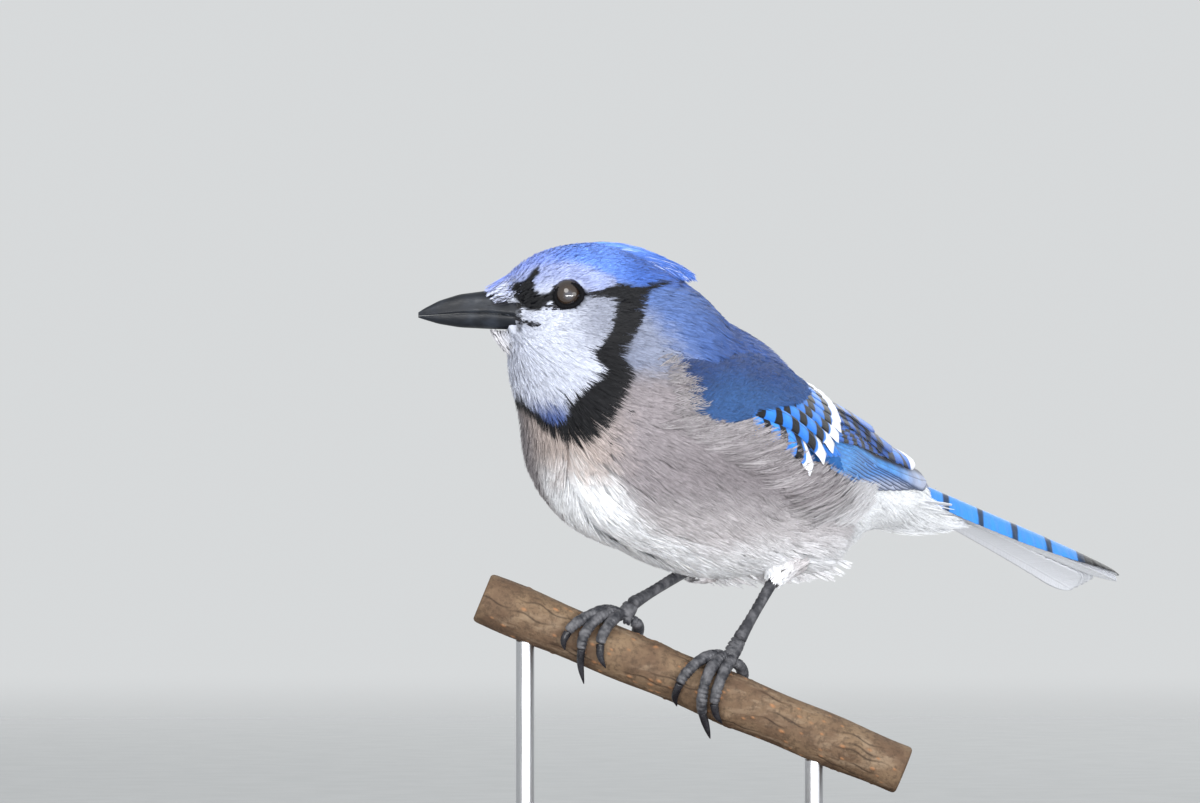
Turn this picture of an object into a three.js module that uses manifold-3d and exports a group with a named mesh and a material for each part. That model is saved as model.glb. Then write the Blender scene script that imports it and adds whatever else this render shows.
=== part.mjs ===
// Blue jay, life size, on a cut length of branch held by a plain display stand.
// Millimetres, +Z up. The origin is the middle of the underside of the stand's base.
// The bird looks along -X, its body turned towards -Y, its tail going back and to the right.
import * as THREE from 'three';
import { mergeVertices } from 'three/addons/utils/BufferGeometryUtils.js';
import Module from 'manifold-3d';

const wasm = await Module();
wasm.setup();

// Driving dimensions
const GAP = 0.3;
const BASE_LENGTH = 150;
const BASE_DEPTH = 120;
const BASE_THICKNESS = 10;
const ROD_RADIUS = 2.4;
const PERCH_RADIUS = 6.7;
const PERCH_SLOPE = 22.4;
const PERCH_HEIGHT = 48;
const PERCH_FROM = -62;
const PERCH_TO = 58;
const BODY_YAW = 228;
const HEAD_YAW = 180;
const TAIL_PITCH = 17;
const TAIL_LENGTH = 127;
const EYE_RADIUS = 4.4;
const BLEND_WIDTH = 8;
const FAR_AWAY = 1000;

// Colours
const COLOURS = {
  crown: 0x5b82d6,
  back: 0x4a6db8,
  breast: 0xb9b0ab,
  wing: 0x2f6fd0,
  tail: 0x3f93dd,
  belly: 0xe6e6ea,
  bill: 0x2e333b,
  eye: 0x1c1715,
  leg: 0x2b2a2c,
  claw: 0x151415,
  bark: 0x8a6650,
  base: 0x6e5138,
  rod: 0x8b8d90,
};

const UP = new THREE.Vector3(0, 0, 1);
const degrees = THREE.MathUtils.degToRad;

// A frame has an origin and forward, left and up axes; its points are [forward, left, up].
function makeFrame(origin, yaw, pitch = 0) {
  const forward = new THREE.Vector3(Math.cos(degrees(yaw)), Math.sin(degrees(yaw)), 0);
  const left = new THREE.Vector3().crossVectors(UP, forward);
  const ahead = forward.clone().multiplyScalar(Math.cos(degrees(pitch)));
  ahead.addScaledVector(UP, Math.sin(degrees(pitch)));
  const up = new THREE.Vector3().crossVectors(ahead, left);
  return { origin, forward: ahead, left, up };
}

function place(frame, [forward, left, up]) {
  const point = frame.origin.clone().addScaledVector(frame.forward, forward);
  return point.addScaledVector(frame.left, left).addScaledVector(frame.up, up);
}

const BODY = makeFrame(new THREE.Vector3(-2.6, 8, PERCH_HEIGHT + 65), BODY_YAW);
const TAIL = makeFrame(place(BODY, [-47.6, 0, -0.4]), BODY_YAW - 180, -TAIL_PITCH);
const HEAD = makeFrame(new THREE.Vector3(-34.5, -13, PERCH_HEIGHT + 102.8), HEAD_YAW);

// Body form: a smooth blend of a few ellipsoids, measured in millimetres
function ellipsoid(frame, centre, radii, pitch = 0) {
  const turned = makeFrame(place(frame, centre), 0);
  const cos = Math.cos(degrees(pitch));
  const sin = Math.sin(degrees(pitch));
  turned.forward = frame.forward.clone().multiplyScalar(cos).addScaledVector(frame.up, sin);
  turned.up = frame.up.clone().multiplyScalar(cos).addScaledVector(frame.forward, -sin);
  turned.left = frame.left;
  return (point) => {
    const offset = point.clone().sub(turned.origin);
    const x = offset.dot(turned.forward) / radii[0];
    const y = offset.dot(turned.left) / radii[1];
    const z = offset.dot(turned.up) / radii[2];
    const scaled = Math.hypot(x, y, z);
    const slope = Math.hypot(x / radii[0], y / radii[1], z / radii[2]);
    return slope < 1e-9 ? -Math.min(...radii) : (scaled * (scaled - 1)) / slope;
  };
}

function blend(a, b, softness) {
  const near = Math.max(softness - Math.abs(a - b), 0) / softness;
  return Math.min(a, b) - (near * near * softness) / 4;
}

const BODY_MASSES = [
  ellipsoid(BODY, [3, 0, -2.5], [48, 33.5, 31], 24),
  ellipsoid(BODY, [22, 0, 3.5], [26, 30, 31], 20),
  ellipsoid(BODY, [-33, 0, -12], [34, 21, 19], 10),
  ellipsoid(BODY, [-6, 0, 13], [32, 24, 17], 24),
  ellipsoid(HEAD, [-22, 0, -14], [19, 18, 19], 0),
];
const TAIL_MASSES = [
  ellipsoid(TAIL, [8, 0, -3], [36, 11, 8], -3),
  ellipsoid(TAIL, [15, 0, -9.5], [36, 12.5, 10], 14),
];
const HEAD_MASSES = [
  ellipsoid(HEAD, [-5.5, 0, -1], [21, 13.5, 15], 0),
  ellipsoid(HEAD, [5.5, 0, -2.5], [12.5, 9.3, 10], 0),
  ellipsoid(HEAD, [-5.5, 0, -7], [16, 15, 12], 0),
  ellipsoid(HEAD, [0, 0, -18.5], [15.3, 15, 15], 0),
];

function bodyField(point) {
  const masses = [...BODY_MASSES, ...TAIL_MASSES, ...HEAD_MASSES];
  return masses.reduce((sum, mass) => blend(sum, mass(point), BLEND_WIDTH), FAR_AWAY);
}

// Closed solids from rings of points
function closedMesh(positions, triangles) {
  const geometry = new THREE.BufferGeometry();
  const numbers = positions.flatMap((point) => point.toArray());
  geometry.setAttribute('position', new THREE.Float32BufferAttribute(numbers, 3));
  geometry.setIndex(triangles.flat());
  return geometry;
}

function loft(rings, start, end) {
  const sides = rings[0].length;
  const positions = rings.flat();
  const triangles = [];
  for (let ring = 0; ring + 1 < rings.length; ring += 1) {
    for (let side = 0; side < sides; side += 1) {
      const next = (side + 1) % sides;
      const here = ring * sides;
      const there = here + sides;
      triangles.push([here + side, here + next, there + next], [here + side, there + next, there + side]);
    }
  }
  const last = (rings.length - 1) * sides;
  positions.push(start, end);
  for (let side = 0; side < sides; side += 1) {
    const next = (side + 1) % sides;
    triangles.push([positions.length - 2, next, side], [positions.length - 1, last + side, last + next]);
  }
  return closedMesh(positions, triangles);
}

// Distance from a point inside the body to its surface
function reach(field, from, direction, level) {
  let inside = 0;
  let outside = 0;
  const probe = (distance) => field(from.clone().addScaledVector(direction, distance)) - level;
  while (probe(outside) < 0 && outside < 200) {
    inside = outside;
    outside += 1.5;
  }
  for (let step = 0; step < 22; step += 1) {
    const middle = (inside + outside) / 2;
    if (probe(middle) < 0) inside = middle;
    else outside = middle;
  }
  return inside;
}

// A slice is a plane through a centre point; its ring runs round the surface of the field there
function slice(centre, normal, side) {
  const axis = normal.clone().normalize();
  const across = side.clone().addScaledVector(axis, -side.dot(axis)).normalize();
  return { centre, axis, across, over: new THREE.Vector3().crossVectors(axis, across) };
}

function sliceRing(field, cut, sides, level) {
  return Array.from({ length: sides }, (_, side) => {
    const angle = (2 * Math.PI * side) / sides;
    const direction = cut.across.clone().multiplyScalar(Math.cos(angle));
    direction.addScaledVector(cut.over, Math.sin(angle));
    return cut.centre.clone().addScaledVector(direction, reach(field, cut.centre, direction, level));
  });
}

function slicesBetween(a, b, count) {
  return Array.from({ length: count + 1 }, (_, index) => {
    const part = index / count;
    const normal = a.axis.clone().lerp(b.axis, part);
    return slice(a.centre.clone().lerp(b.centre, part), normal, a.across.clone().lerp(b.across, part));
  });
}

// Slices of a fan turn about a hinge outside the body, each centred in what it cuts
function fanSlices(hinge, side, fromAngle, toAngle, count) {
  return Array.from({ length: count + 1 }, (_, index) => {
    const angle = degrees(fromAngle + ((toAngle - fromAngle) * index) / count);
    const along = new THREE.Vector3(Math.cos(angle), 0, Math.sin(angle));
    const span = Array.from({ length: 160 }, (_step, step) => step / 2).filter(
      (distance) => bodyField(hinge.clone().addScaledVector(along, distance)) < 0,
    );
    const centre = hinge.clone().addScaledVector(along, (span[0] + span[span.length - 1]) / 2);
    return slice(centre, new THREE.Vector3(along.z, 0, -along.x), side);
  });
}

function shiftSlice(cut, distance) {
  return { ...cut, centre: cut.centre.clone().addScaledVector(cut.axis, distance) };
}

function bodySolid(field, cuts, sides, { level = 0, openStart = true, openEnd = true } = {}) {
  const rings = cuts.map((cut) => sliceRing(field, cut, sides, level));
  const first = cuts[0];
  const last = cuts[cuts.length - 1];
  const back = first.axis.clone().negate();
  const start = openStart
    ? first.centre.clone().addScaledVector(back, reach(field, first.centre, back, level))
    : first.centre;
  const end = openEnd
    ? last.centre.clone().addScaledVector(last.axis, reach(field, last.centre, last.axis, level))
    : last.centre;
  return loft(rings, start, end);
}

const HEAD_SIDES = 24;
const BODY_SIDES = 26;
const bodyLeft = BODY.left;
const headLeft = HEAD.left;

const throatHinge = place(HEAD, [18, 0, -36]);
const headCuts = fanSlices(throatHinge, headLeft, 88, 32, 12);
const headCut = headCuts[headCuts.length - 1];
headCuts[headCuts.length - 1] = shiftSlice(headCut, -GAP / 2);
const neckNormal = BODY.forward.clone().multiplyScalar(-0.55).addScaledVector(UP, -0.835);
const neckCut = slice(place(BODY, [14, 0, 10]), neckNormal, bodyLeft);
const middleSlice = slice(place(BODY, [-20, 0, -6]), BODY.forward.clone().negate(), bodyLeft);
const tailCut = slice(place(TAIL, [8, 0, -9]), TAIL.forward.clone(), bodyLeft);
const coverts = slice(place(TAIL, [44, 0, -3]), TAIL.forward.clone(), bodyLeft);
const neckCuts = slicesBetween(shiftSlice(headCut, GAP / 2), shiftSlice(neckCut, -GAP / 2), 4);
const torsoCuts = [
  ...slicesBetween(shiftSlice(neckCut, GAP / 2), middleSlice, 7),
  ...slicesBetween(middleSlice, shiftSlice(tailCut, -GAP / 2), 6).slice(1),
];
const rumpCuts = slicesBetween(shiftSlice(tailCut, GAP / 2), coverts, 5);

const head = bodySolid(bodyField, headCuts, HEAD_SIDES, { openEnd: false });
const neck = bodySolid(bodyField, neckCuts, BODY_SIDES, { openStart: false, openEnd: false });
const torso = bodySolid(bodyField, torsoCuts, BODY_SIDES, { openStart: false, openEnd: false });
const rump = bodySolid(bodyField, rumpCuts, BODY_SIDES, { openStart: false });

// Solids that can be joined and cut
function flipped(geometry) {
  const index = Array.from(geometry.index.array);
  const turned = [];
  for (let corner = 0; corner < index.length; corner += 3) {
    turned.push(index[corner], index[corner + 2], index[corner + 1]);
  }
  geometry.setIndex(turned);
  return geometry;
}

function volume(geometry) {
  const position = geometry.getAttribute('position');
  const corner = (index) => new THREE.Vector3().fromBufferAttribute(position, geometry.index.getX(index));
  let sum = 0;
  for (let first = 0; first < geometry.index.count; first += 3) {
    sum += corner(first).dot(new THREE.Vector3().crossVectors(corner(first + 1), corner(first + 2)));
  }
  return sum / 6;
}

function toSolid(geometry) {
  const bare = geometry.clone();
  bare.deleteAttribute('normal');
  bare.deleteAttribute('uv');
  const merged = mergeVertices(bare, 1e-4);
  const outward = volume(merged) < 0 ? flipped(merged) : merged;
  return new wasm.Manifold(new wasm.Mesh({
    numProp: 3,
    vertProperties: new Float32Array(outward.getAttribute('position').array),
    triVerts: new Uint32Array(outward.index.array),
  }));
}

function toGeometry(solid) {
  const bodies = solid.decompose();
  const largest = bodies.reduce((best, body) => (body.volume() > best.volume() ? body : best));
  const mesh = largest.getMesh();
  const geometry = new THREE.BufferGeometry();
  geometry.setAttribute('position', new THREE.Float32BufferAttribute(mesh.vertProperties, 3));
  geometry.setIndex(Array.from(mesh.triVerts));
  return welded(geometry);
}

// Joins corners that lie within a hundredth of a millimetre and drops the slivers between them
function welded(geometry) {
  const merged = mergeVertices(geometry, 0.01);
  const index = Array.from(merged.index.array);
  const kept = [];
  for (let corner = 0; corner < index.length; corner += 3) {
    const [a, b, c] = index.slice(corner, corner + 3);
    if (a !== b && b !== c && a !== c) kept.push(a, b, c);
  }
  merged.setIndex(kept);
  return merged;
}

function joined(geometries) {
  return geometries.map(toSolid).reduce((whole, piece) => whole.add(piece));
}

function cutClear(solid, ...others) {
  return others.reduce((rest, other) => rest.subtract(other), solid);
}

// A plate has a grid of middle points, each with the vector to its upper face
function plate(grid, lifts) {
  const rows = grid.length;
  const columns = grid[0].length;
  const upper = grid.map((row, i) => row.map((point, j) => point.clone().add(lifts[i][j])));
  const lower = grid.map((row, i) => row.map((point, j) => point.clone().sub(lifts[i][j])));
  const positions = [...upper.flat(), ...lower.flat()];
  const at = (face, i, j) => face * rows * columns + i * columns + j;
  const triangles = [];
  const quad = (a, b, c, d) => triangles.push([a, b, c], [a, c, d]);
  for (let i = 0; i + 1 < rows; i += 1) {
    for (let j = 0; j + 1 < columns; j += 1) {
      quad(at(0, i, j), at(0, i + 1, j), at(0, i + 1, j + 1), at(0, i, j + 1));
      triangles.push([at(1, i, j), at(1, i + 1, j + 1), at(1, i + 1, j)]);
      triangles.push([at(1, i, j), at(1, i, j + 1), at(1, i + 1, j + 1)]);
    }
    quad(at(1, i, 0), at(1, i + 1, 0), at(0, i + 1, 0), at(0, i, 0));
    const last = columns - 1;
    quad(at(0, i, last), at(0, i + 1, last), at(1, i + 1, last), at(1, i, last));
  }
  for (let j = 0; j + 1 < columns; j += 1) {
    quad(at(0, 0, j), at(0, 0, j + 1), at(1, 0, j + 1), at(1, 0, j));
    quad(at(1, rows - 1, j), at(1, rows - 1, j + 1), at(0, rows - 1, j + 1), at(0, rows - 1, j));
  }
  return closedMesh(positions, triangles);
}

// A tube with its own radius at each point, closed by a flat cap at either end
function limb(points, radii, sides, lookUp = UP) {
  const rings = points.map((point, index) => {
    const before = points[Math.max(index - 1, 0)];
    const after = points[Math.min(index + 1, points.length - 1)];
    const axis = after.clone().sub(before).normalize();
    const across = new THREE.Vector3().crossVectors(lookUp, axis).normalize();
    const over = new THREE.Vector3().crossVectors(axis, across);
    return Array.from({ length: sides }, (_, side) => {
      const angle = (2 * Math.PI * side) / sides;
      const rim = point.clone().addScaledVector(across, radii[index] * Math.cos(angle));
      return rim.addScaledVector(over, radii[index] * Math.sin(angle));
    });
  });
  return loft(rings, points[0], points[points.length - 1]);
}

function alongCurve(points, part) {
  return new THREE.CatmullRomCurve3(points, false, 'centripetal').getPoint(part);
}

const VANE_THICKNESS = 0.5;

// Width of a vane from its root (0) to its tip (1), as a share of its full width
function vaneShape(part, roundness = 0.8, opensBy = 0.35) {
  const opening = Math.min(1, 0.45 + (0.55 * part) / opensBy);
  const beyond = Math.max(part - roundness, 0) / (1 - roundness);
  const closing = Math.sqrt(Math.max(0, 1 - beyond ** 2));
  return Math.max(opening * closing, 0.12);
}

// A feather's vane laid on a guide surface: guide(along, across, height) gives a point
function vane(guide, shape, grow = 0) {
  const { path, inner, outer, heights, tilt = 0, roundness = 0.8, rows = 3, opensBy, flat = true } = shape;
  const half = VANE_THICKNESS / 2 + grow;
  const grid = [];
  const lifts = [];
  for (let row = 0; row <= rows; row += 1) {
    const part = row / rows;
    const beyond = row === rows ? grow : 0;
    const along = path.from[0] + (path.to[0] - path.from[0]) * part + beyond;
    const bow = (path.bow ?? 0) * Math.sin(Math.PI * part);
    const across = path.from[1] + (path.to[1] - path.from[1]) * part + bow;
    const height = heights[0] + (heights[1] - heights[0]) * part;
    const share = vaneShape(part, roundness, opensBy);
    const edges = [-inner * share - grow, outer * share + grow];
    const offsets = flat ? edges : [edges[0], (edges[0] + edges[1]) / 2, edges[1]];
    const rowPoints = offsets.map((offset) => guide(along, across + offset, height + tilt * offset));
    const above = offsets.map((offset) => guide(along, across + offset, height + tilt * offset + half));
    grid.push(rowPoints);
    lifts.push(above.map((point, column) => point.sub(rowPoints[column])));
  }
  return plate(grid, lifts);
}

const jay = new THREE.Group();

function addNode(name, geometry, colour, roughness = 0.8, metalness = 0) {
  const material = new THREE.MeshStandardMaterial({ color: colour, roughness, metalness });
  const mesh = new THREE.Mesh(geometry, material);
  mesh.name = name;
  jay.add(mesh);
}

// Body
const CLEARANCE = 2 * GAP;

function bodyTool(level) {
  const cuts = [shiftSlice(headCut, -GAP), ...neckCuts, ...torsoCuts, ...rumpCuts];
  return toSolid(bodySolid(bodyField, cuts, BODY_SIDES, { level, openStart: false }));
}

function headTool(level) {
  const cuts = [...headCuts.slice(0, -1), shiftSlice(headCut, GAP)];
  return toSolid(bodySolid(bodyField, cuts, HEAD_SIDES, { level, openEnd: false }));
}

const grownBody = bodyTool(CLEARANCE);
const grownHead = headTool(CLEARANCE);
addNode('neck', neck, COLOURS.back);
addNode('torso', torso, COLOURS.breast);

// Wings: a guide surface spans the upper and lower edge of the folded wing
const WING_LENGTH = 118;
const UPPER_EDGE = [
  [28, 20, 23],
  [0, 14.5, 27],
  [-28, 10.5, 16],
  [-52, 6.8, 7],
  [-78, 3.6, -4],
  [-92, 3, -10.5],
];
const LOWER_EDGE = [
  [28, 31, 8],
  [0, 35.5, -5],
  [-28, 30.5, -13],
  [-52, 20, -14],
  [-78, 9, -13.5],
  [-92, 5.5, -12.5],
];
const WING_BULGE = 7;
const WING_LEAN = 0.9;

const UPPER_CURVE = new THREE.CatmullRomCurve3(UPPER_EDGE.map((point) => new THREE.Vector3(...point)));
const LOWER_CURVE = new THREE.CatmullRomCurve3(LOWER_EDGE.map((point) => new THREE.Vector3(...point)));

// along runs back from the wrist in mm, across down from the upper edge in mm, height outwards
function wingGuide(side) {
  return (along, across, height) => {
    const part = THREE.MathUtils.clamp(along / WING_LENGTH, 0, 1.04);
    const upper = UPPER_CURVE.getPoint(Math.min(part, 1));
    const lower = LOWER_CURVE.getPoint(Math.min(part, 1));
    const width = upper.distanceTo(lower);
    const share = across / width;
    const outward = new THREE.Vector3(0, upper.z - lower.z, lower.y - upper.y).normalize();
    const opening = (share - 0.5) * WING_LEAN;
    const lean = outward.clone().add(new THREE.Vector3(0, opening, -opening)).normalize();
    const point = upper.lerp(lower, share);
    point.addScaledVector(outward, 4 * share * (1 - share) * WING_BULGE * Math.min(1, width / 30));
    point.addScaledVector(lean, height);
    point.x -= Math.max(0, along - WING_LENGTH);
    return place(BODY, [point.x, side * point.y, point.z]);
  };
}

function wingCore(guide, grow) {
  const stations = [8, 16, 30, 46, 60, 70];
  const grid = [];
  const lifts = [];
  stations.forEach((along, row) => {
    const upper = UPPER_CURVE.getPoint(along / WING_LENGTH);
    const width = upper.distanceTo(LOWER_CURVE.getPoint(along / WING_LENGTH));
    const taper = row === 0 ? 0.6 : 1;
    const thick = row === stations.length - 1 ? 0.8 : 3.2;
    const shares = [0, 0.16, 0.34, 0.5, 0.66, 0.84, 1].map((share) => 0.5 + (share - 0.5) * taper);
    const half = (column) => thick * [0.25, 0.8, 1, 1, 1, 0.8, 0.25][column] * (row === 0 ? 0.3 : 1) + grow;
    const middle = shares.map((share, column) => guide(along, share * width, -half(column) - 0.6));
    grid.push(middle);
    lifts.push(shares.map((share, column) => guide(along, share * width, grow - 0.6).sub(middle[column])));
  });
  return plate(grid, lifts);
}

function wingWidth(along) {
  const part = Math.min(along / WING_LENGTH, 1);
  return UPPER_CURVE.getPoint(part).distanceTo(LOWER_CURVE.getPoint(part));
}

const PRIMARIES = 6;
const SECONDARIES = 4;
const TERTIALS = 3;
const GREATER_COVERTS = 8;
const MEDIAN_COVERTS = 7;
const PRIMARY_COVERTS = 4;

function wingVanes(guide, grow) {
  const vanes = [];
  for (let index = 0; index < PRIMARIES; index += 1) {
    const part = index / (PRIMARIES - 1);
    const tip = 119 - 26 * part;
    vanes.push(vane(guide, {
      path: { from: [44, wingWidth(44) - 10 + 5 * part], to: [tip, wingWidth(tip) * (0.5 + 0.35 * part)] },
      inner: 4.2,
      outer: 2.6,
      heights: [-3 - 0.5 * part, -1.2 - 2.2 * part],
      tilt: 0.12,
      rows: 5,
    }, grow));
  }
  for (let index = 0; index < SECONDARIES; index += 1) {
    const part = index / (SECONDARIES - 1);
    const tip = 98 - 10 * part;
    vanes.push(vane(guide, {
      path: { from: [42, 17 + 13 * part], to: [tip, wingWidth(tip) * (0.42 + 0.22 * part)] },
      inner: 4.6,
      outer: 3.4,
      heights: [-2.4, -0.3 - 0.5 * part],
      tilt: 0.16,
      rows: 5,
    }, grow));
  }
  for (let index = 0; index < TERTIALS; index += 1) {
    const tip = 105 - 12 * index;
    vanes.push(vane(guide, {
      path: { from: [40, 13 - 4.5 * index], to: [tip, wingWidth(tip) * 0.3 + 1 - index] },
      inner: 4.6,
      outer: 5,
      heights: [-1.8, 0.9 + 0.7 * index],
      tilt: 0.05,
      rows: 5,
    }, grow));
  }
  for (let index = 0; index < GREATER_COVERTS; index += 1) {
    const part = index / (GREATER_COVERTS - 1);
    const tip = 59 - 19 * part ** 2.2;
    vanes.push(vane(guide, {
      path: { from: [tip - 24, 3 + 27 * part], to: [tip, 4 + 31 * part] },
      inner: 3.1,
      outer: 2.6,
      heights: [-1.4, 1.3],
      tilt: 0.14,
      rows: 3,
    }, grow));
  }
  for (let index = 0; index < MEDIAN_COVERTS; index += 1) {
    const part = index / (MEDIAN_COVERTS - 1);
    const tip = 44 - 15 * part ** 2;
    vanes.push(vane(guide, {
      path: { from: [tip - 18, 4 + 24 * part], to: [tip, 5 + 27 * part] },
      inner: 3.2,
      outer: 3,
      heights: [-1.4, 1],
      tilt: 0.14,
      rows: 3,
    }, grow));
  }
  for (let index = 0; index < PRIMARY_COVERTS; index += 1) {
    const part = index / (PRIMARY_COVERTS - 1);
    vanes.push(vane(guide, {
      path: {
        from: [22, wingWidth(22) - 7 + 4 * part],
        to: [58 - 5 * part, wingWidth(58) - 8 + 4.5 * part],
      },
      inner: 2.4,
      outer: 2.2,
      heights: [-1.8, -0.1],
      tilt: 0.14,
      rows: 3,
    }, grow));
  }
  return vanes;
}

function wing(side, grow) {
  const guide = wingGuide(side);
  const whole = joined([wingCore(guide, grow), ...wingVanes(guide, grow)]);
  return cutClear(whole, bodyTool(CLEARANCE - grow), grownHead);
}

addNode('wing_left', toGeometry(wing(1, 0)), COLOURS.wing);
addNode('wing_right', toGeometry(wing(-1, 0)), COLOURS.wing);

// Tail: twelve vanes in a folded arch, with coverts above and below
const TAIL_PAIRS = 6;
const TAIL_ARCH = 4;
const TAIL_HALF_WIDTH = 14;
const LAYER = 0.8;

function tailGuide(side) {
  return (along, across, height) => {
    const arch = TAIL_ARCH * Math.min(Math.max(along / TAIL_LENGTH, 0.2), 1) ** 1.5;
    const droop = arch * Math.abs(across / TAIL_HALF_WIDTH) ** 2.5;
    return place(TAIL, [along, -side * across, height - droop]);
  };
}

function rectrices() {
  const vanes = [];
  for (let pair = 0; pair < TAIL_PAIRS; pair += 1) {
    for (const side of [1, -1]) {
      const layer = pair === 0 ? (side === 1 ? 0 : 1) : pair + 1;
      const centre = pair === 0 ? 0.8 : 4 + 1.35 * pair;
      const tip = TAIL_LENGTH - 0.42 * pair ** 2;
      const height = 1.6 - LAYER * layer - (side === 1 ? 0 : 0.12);
      vanes.push(vane(tailGuide(side), {
        path: { from: [14 + 0.37 * pair + 0.19 * side, centre * 0.35], to: [tip, centre] },
        inner: pair === 0 ? 5.4 : centre - 0.3,
        outer: pair === 0 ? 5 : 3.4,
        heights: [height, height],
        roundness: 0.88,
        rows: 5,
        opensBy: 0.85,
        flat: false,
      }));
    }
  }
  return vanes;
}

function tailCoverts() {
  const vanes = [];
  for (let index = 0; index < 5; index += 1) {
    const lateral = (index - 2) * 1.2;
    vanes.push(vane(tailGuide(1), {
      path: { from: [14, lateral * 2.6], to: [50 - Math.abs(lateral) * 5, lateral * 3.2] },
      inner: 3,
      outer: 3,
      heights: [3, 3.2 - Math.abs(lateral) * 0.2],
      tilt: -0.12,
      rows: 3,
    }));
    vanes.push(vane(tailGuide(1), {
      path: { from: [24, lateral * 2.4], to: [70 - Math.abs(lateral) * 7, lateral * 3.2] },
      inner: 3.2,
      outer: 3.2,
      heights: [-9, -5.6 + Math.abs(lateral) * 0.5],
      tilt: 0.12,
      rows: 3,
    }));
  }
  return vanes;
}

const WING_ROOM = 1.6 * GAP;
const wingRoom = [wing(1, WING_ROOM), wing(-1, WING_ROOM)];
const tailSolid = cutClear(joined([rump, ...rectrices(), ...tailCoverts()]), ...wingRoom);
addNode('tail', toGeometry(tailSolid), COLOURS.tail);

// Head: eyes with their lids, crest and nasal plumes
function surfaceOf(frame, from, direction) {
  return place(frame, from).addScaledVector(direction, reach(bodyField, place(frame, from), direction, 0));
}

const EYE_SINK = 3.1;
function eyeCentre(side) {
  const outward = HEAD.left.clone().multiplyScalar(side);
  return surfaceOf(HEAD, [0, 0, 0], outward).addScaledVector(outward, -EYE_SINK);
}

function eyeSphere(side, radius) {
  const sphere = new THREE.SphereGeometry(radius, 14, 8);
  sphere.rotateX(Math.PI / 2);
  const centre = eyeCentre(side);
  sphere.translate(centre.x, centre.y, centre.z);
  return sphere;
}

function lidRing(side) {
  const ring = new THREE.TorusGeometry(4, 0.75, 5, 16);
  ring.scale(1.06, 0.94, 1);
  ring.rotateX(Math.PI / 2);
  const centre = surfaceOf(HEAD, [0, 0, 0], HEAD.left.clone().multiplyScalar(side));
  centre.addScaledVector(HEAD.left, -side * 0.35);
  ring.translate(centre.x, centre.y, centre.z);
  return ring;
}

// A lock is a tapered blade through a few points, wide across the given direction
function lock(points, across, width, thickness, rows, grow = 0) {
  const grid = [];
  const lifts = [];
  for (let row = 0; row <= rows; row += 1) {
    const part = row / rows;
    const middle = alongCurve(points, part);
    const before = alongCurve(points, Math.max(part - 0.05, 0));
    const ahead = alongCurve(points, Math.min(part + 0.05, 1)).sub(before);
    const beyond = row === 0 ? -grow : row === rows ? grow : 0;
    middle.addScaledVector(ahead.normalize(), beyond);
    const lift = new THREE.Vector3().crossVectors(ahead, across).normalize();
    const half = (width / 2) * vaneShape(part, 0.55) + grow;
    grid.push([-half, half].map((offset) => middle.clone().addScaledVector(across, offset)));
    lifts.push([lift, lift].map((way) => way.clone().multiplyScalar(thickness / 2 + grow)));
  }
  return plate(grid, lifts);
}

function crest() {
  const locks = [];
  for (let row = 0; row < 3; row += 1) {
    for (let index = 0; index < 3; index += 1) {
      const lateral = (index - 1) * (4 - 0.6 * row);
      const height = 11.2 - 0.35 * row ** 2 - 0.05 * lateral ** 2;
      const fromTop = place(HEAD, [-6 - 5.5 * row, lateral * 1.3, height]);
      const middle = place(HEAD, [-17 - 4.5 * row, lateral * 1.1, 11 - 1.3 * row - 0.05 * lateral ** 2]);
      const tip = place(HEAD, [-28.5 - 2.9 * row, lateral * 0.6, 8 - 1.4 * row - 0.02 * lateral ** 2]);
      locks.push(lock([fromTop, middle, tip], HEAD.left, 5 - 0.4 * row, 0.9, 3));
    }
  }
  return locks;
}

function nasalPlumes(grow = 0) {
  const locks = [];
  for (const side of [1, -1]) {
    for (let index = 0; index < 4; index += 1) {
      const height = 3 - 1.7 * index;
      const reachOut = 21.5 - 0.9 * index;
      locks.push(lock([
        place(HEAD, [11.5, side * (3 + index * 0.9), height + 1.2]),
        place(HEAD, [16.5, side * (3.4 + index * 0.7), height]),
        place(HEAD, [reachOut, side * (2.2 + index * 0.8), height - 1.2]),
      ], new THREE.Vector3(0.15, -side * 0.55, 0.8).normalize(), 2.6, 0.7, 3, grow));
    }
  }
  return locks;
}

// Bill: sections stand across it, from under the plumes to the tip
const BILL_STATIONS = [39.4, 38, 34, 28.6, 21, 12, 6];
const CULMEN = [-3.6, -3, -1.3, 0.2, 1.6, 1.9, 1.2];
const GAPE_LINE = [-4.4, -4.4, -4.4, -4.4, -4.7, -5.3, -6.2];
const GONYS = [-5.1, -5.5, -6.8, -8, -8.8, -8.8, -8.4];
const HALF_WIDTH = [0.4, 0.9, 2.1, 3.2, 4.3, 4.8, 4.9];

function mandible(edge, towards) {
  const rings = BILL_STATIONS.map((station, index) => {
    const rim = GAPE_LINE[index] + Math.sign(towards) * (GAP / 2);
    const crown = edge[index];
    const half = HALF_WIDTH[index];
    const side = [[1, 0], [1, 0.38], [0.72, 0.8], [0.28, 1], [-0.28, 1], [-0.72, 0.8], [-1, 0.38], [-1, 0]];
    return side.map(([across, rise]) => place(HEAD, [station, across * half, rim + (crown - rim) * rise]));
  });
  const ends = [0, rings.length - 1].map((index) => (
    place(HEAD, [BILL_STATIONS[index], 0, (GAPE_LINE[index] + edge[index]) / 2])));
  return loft(rings, ends[0], ends[1]);
}

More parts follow.
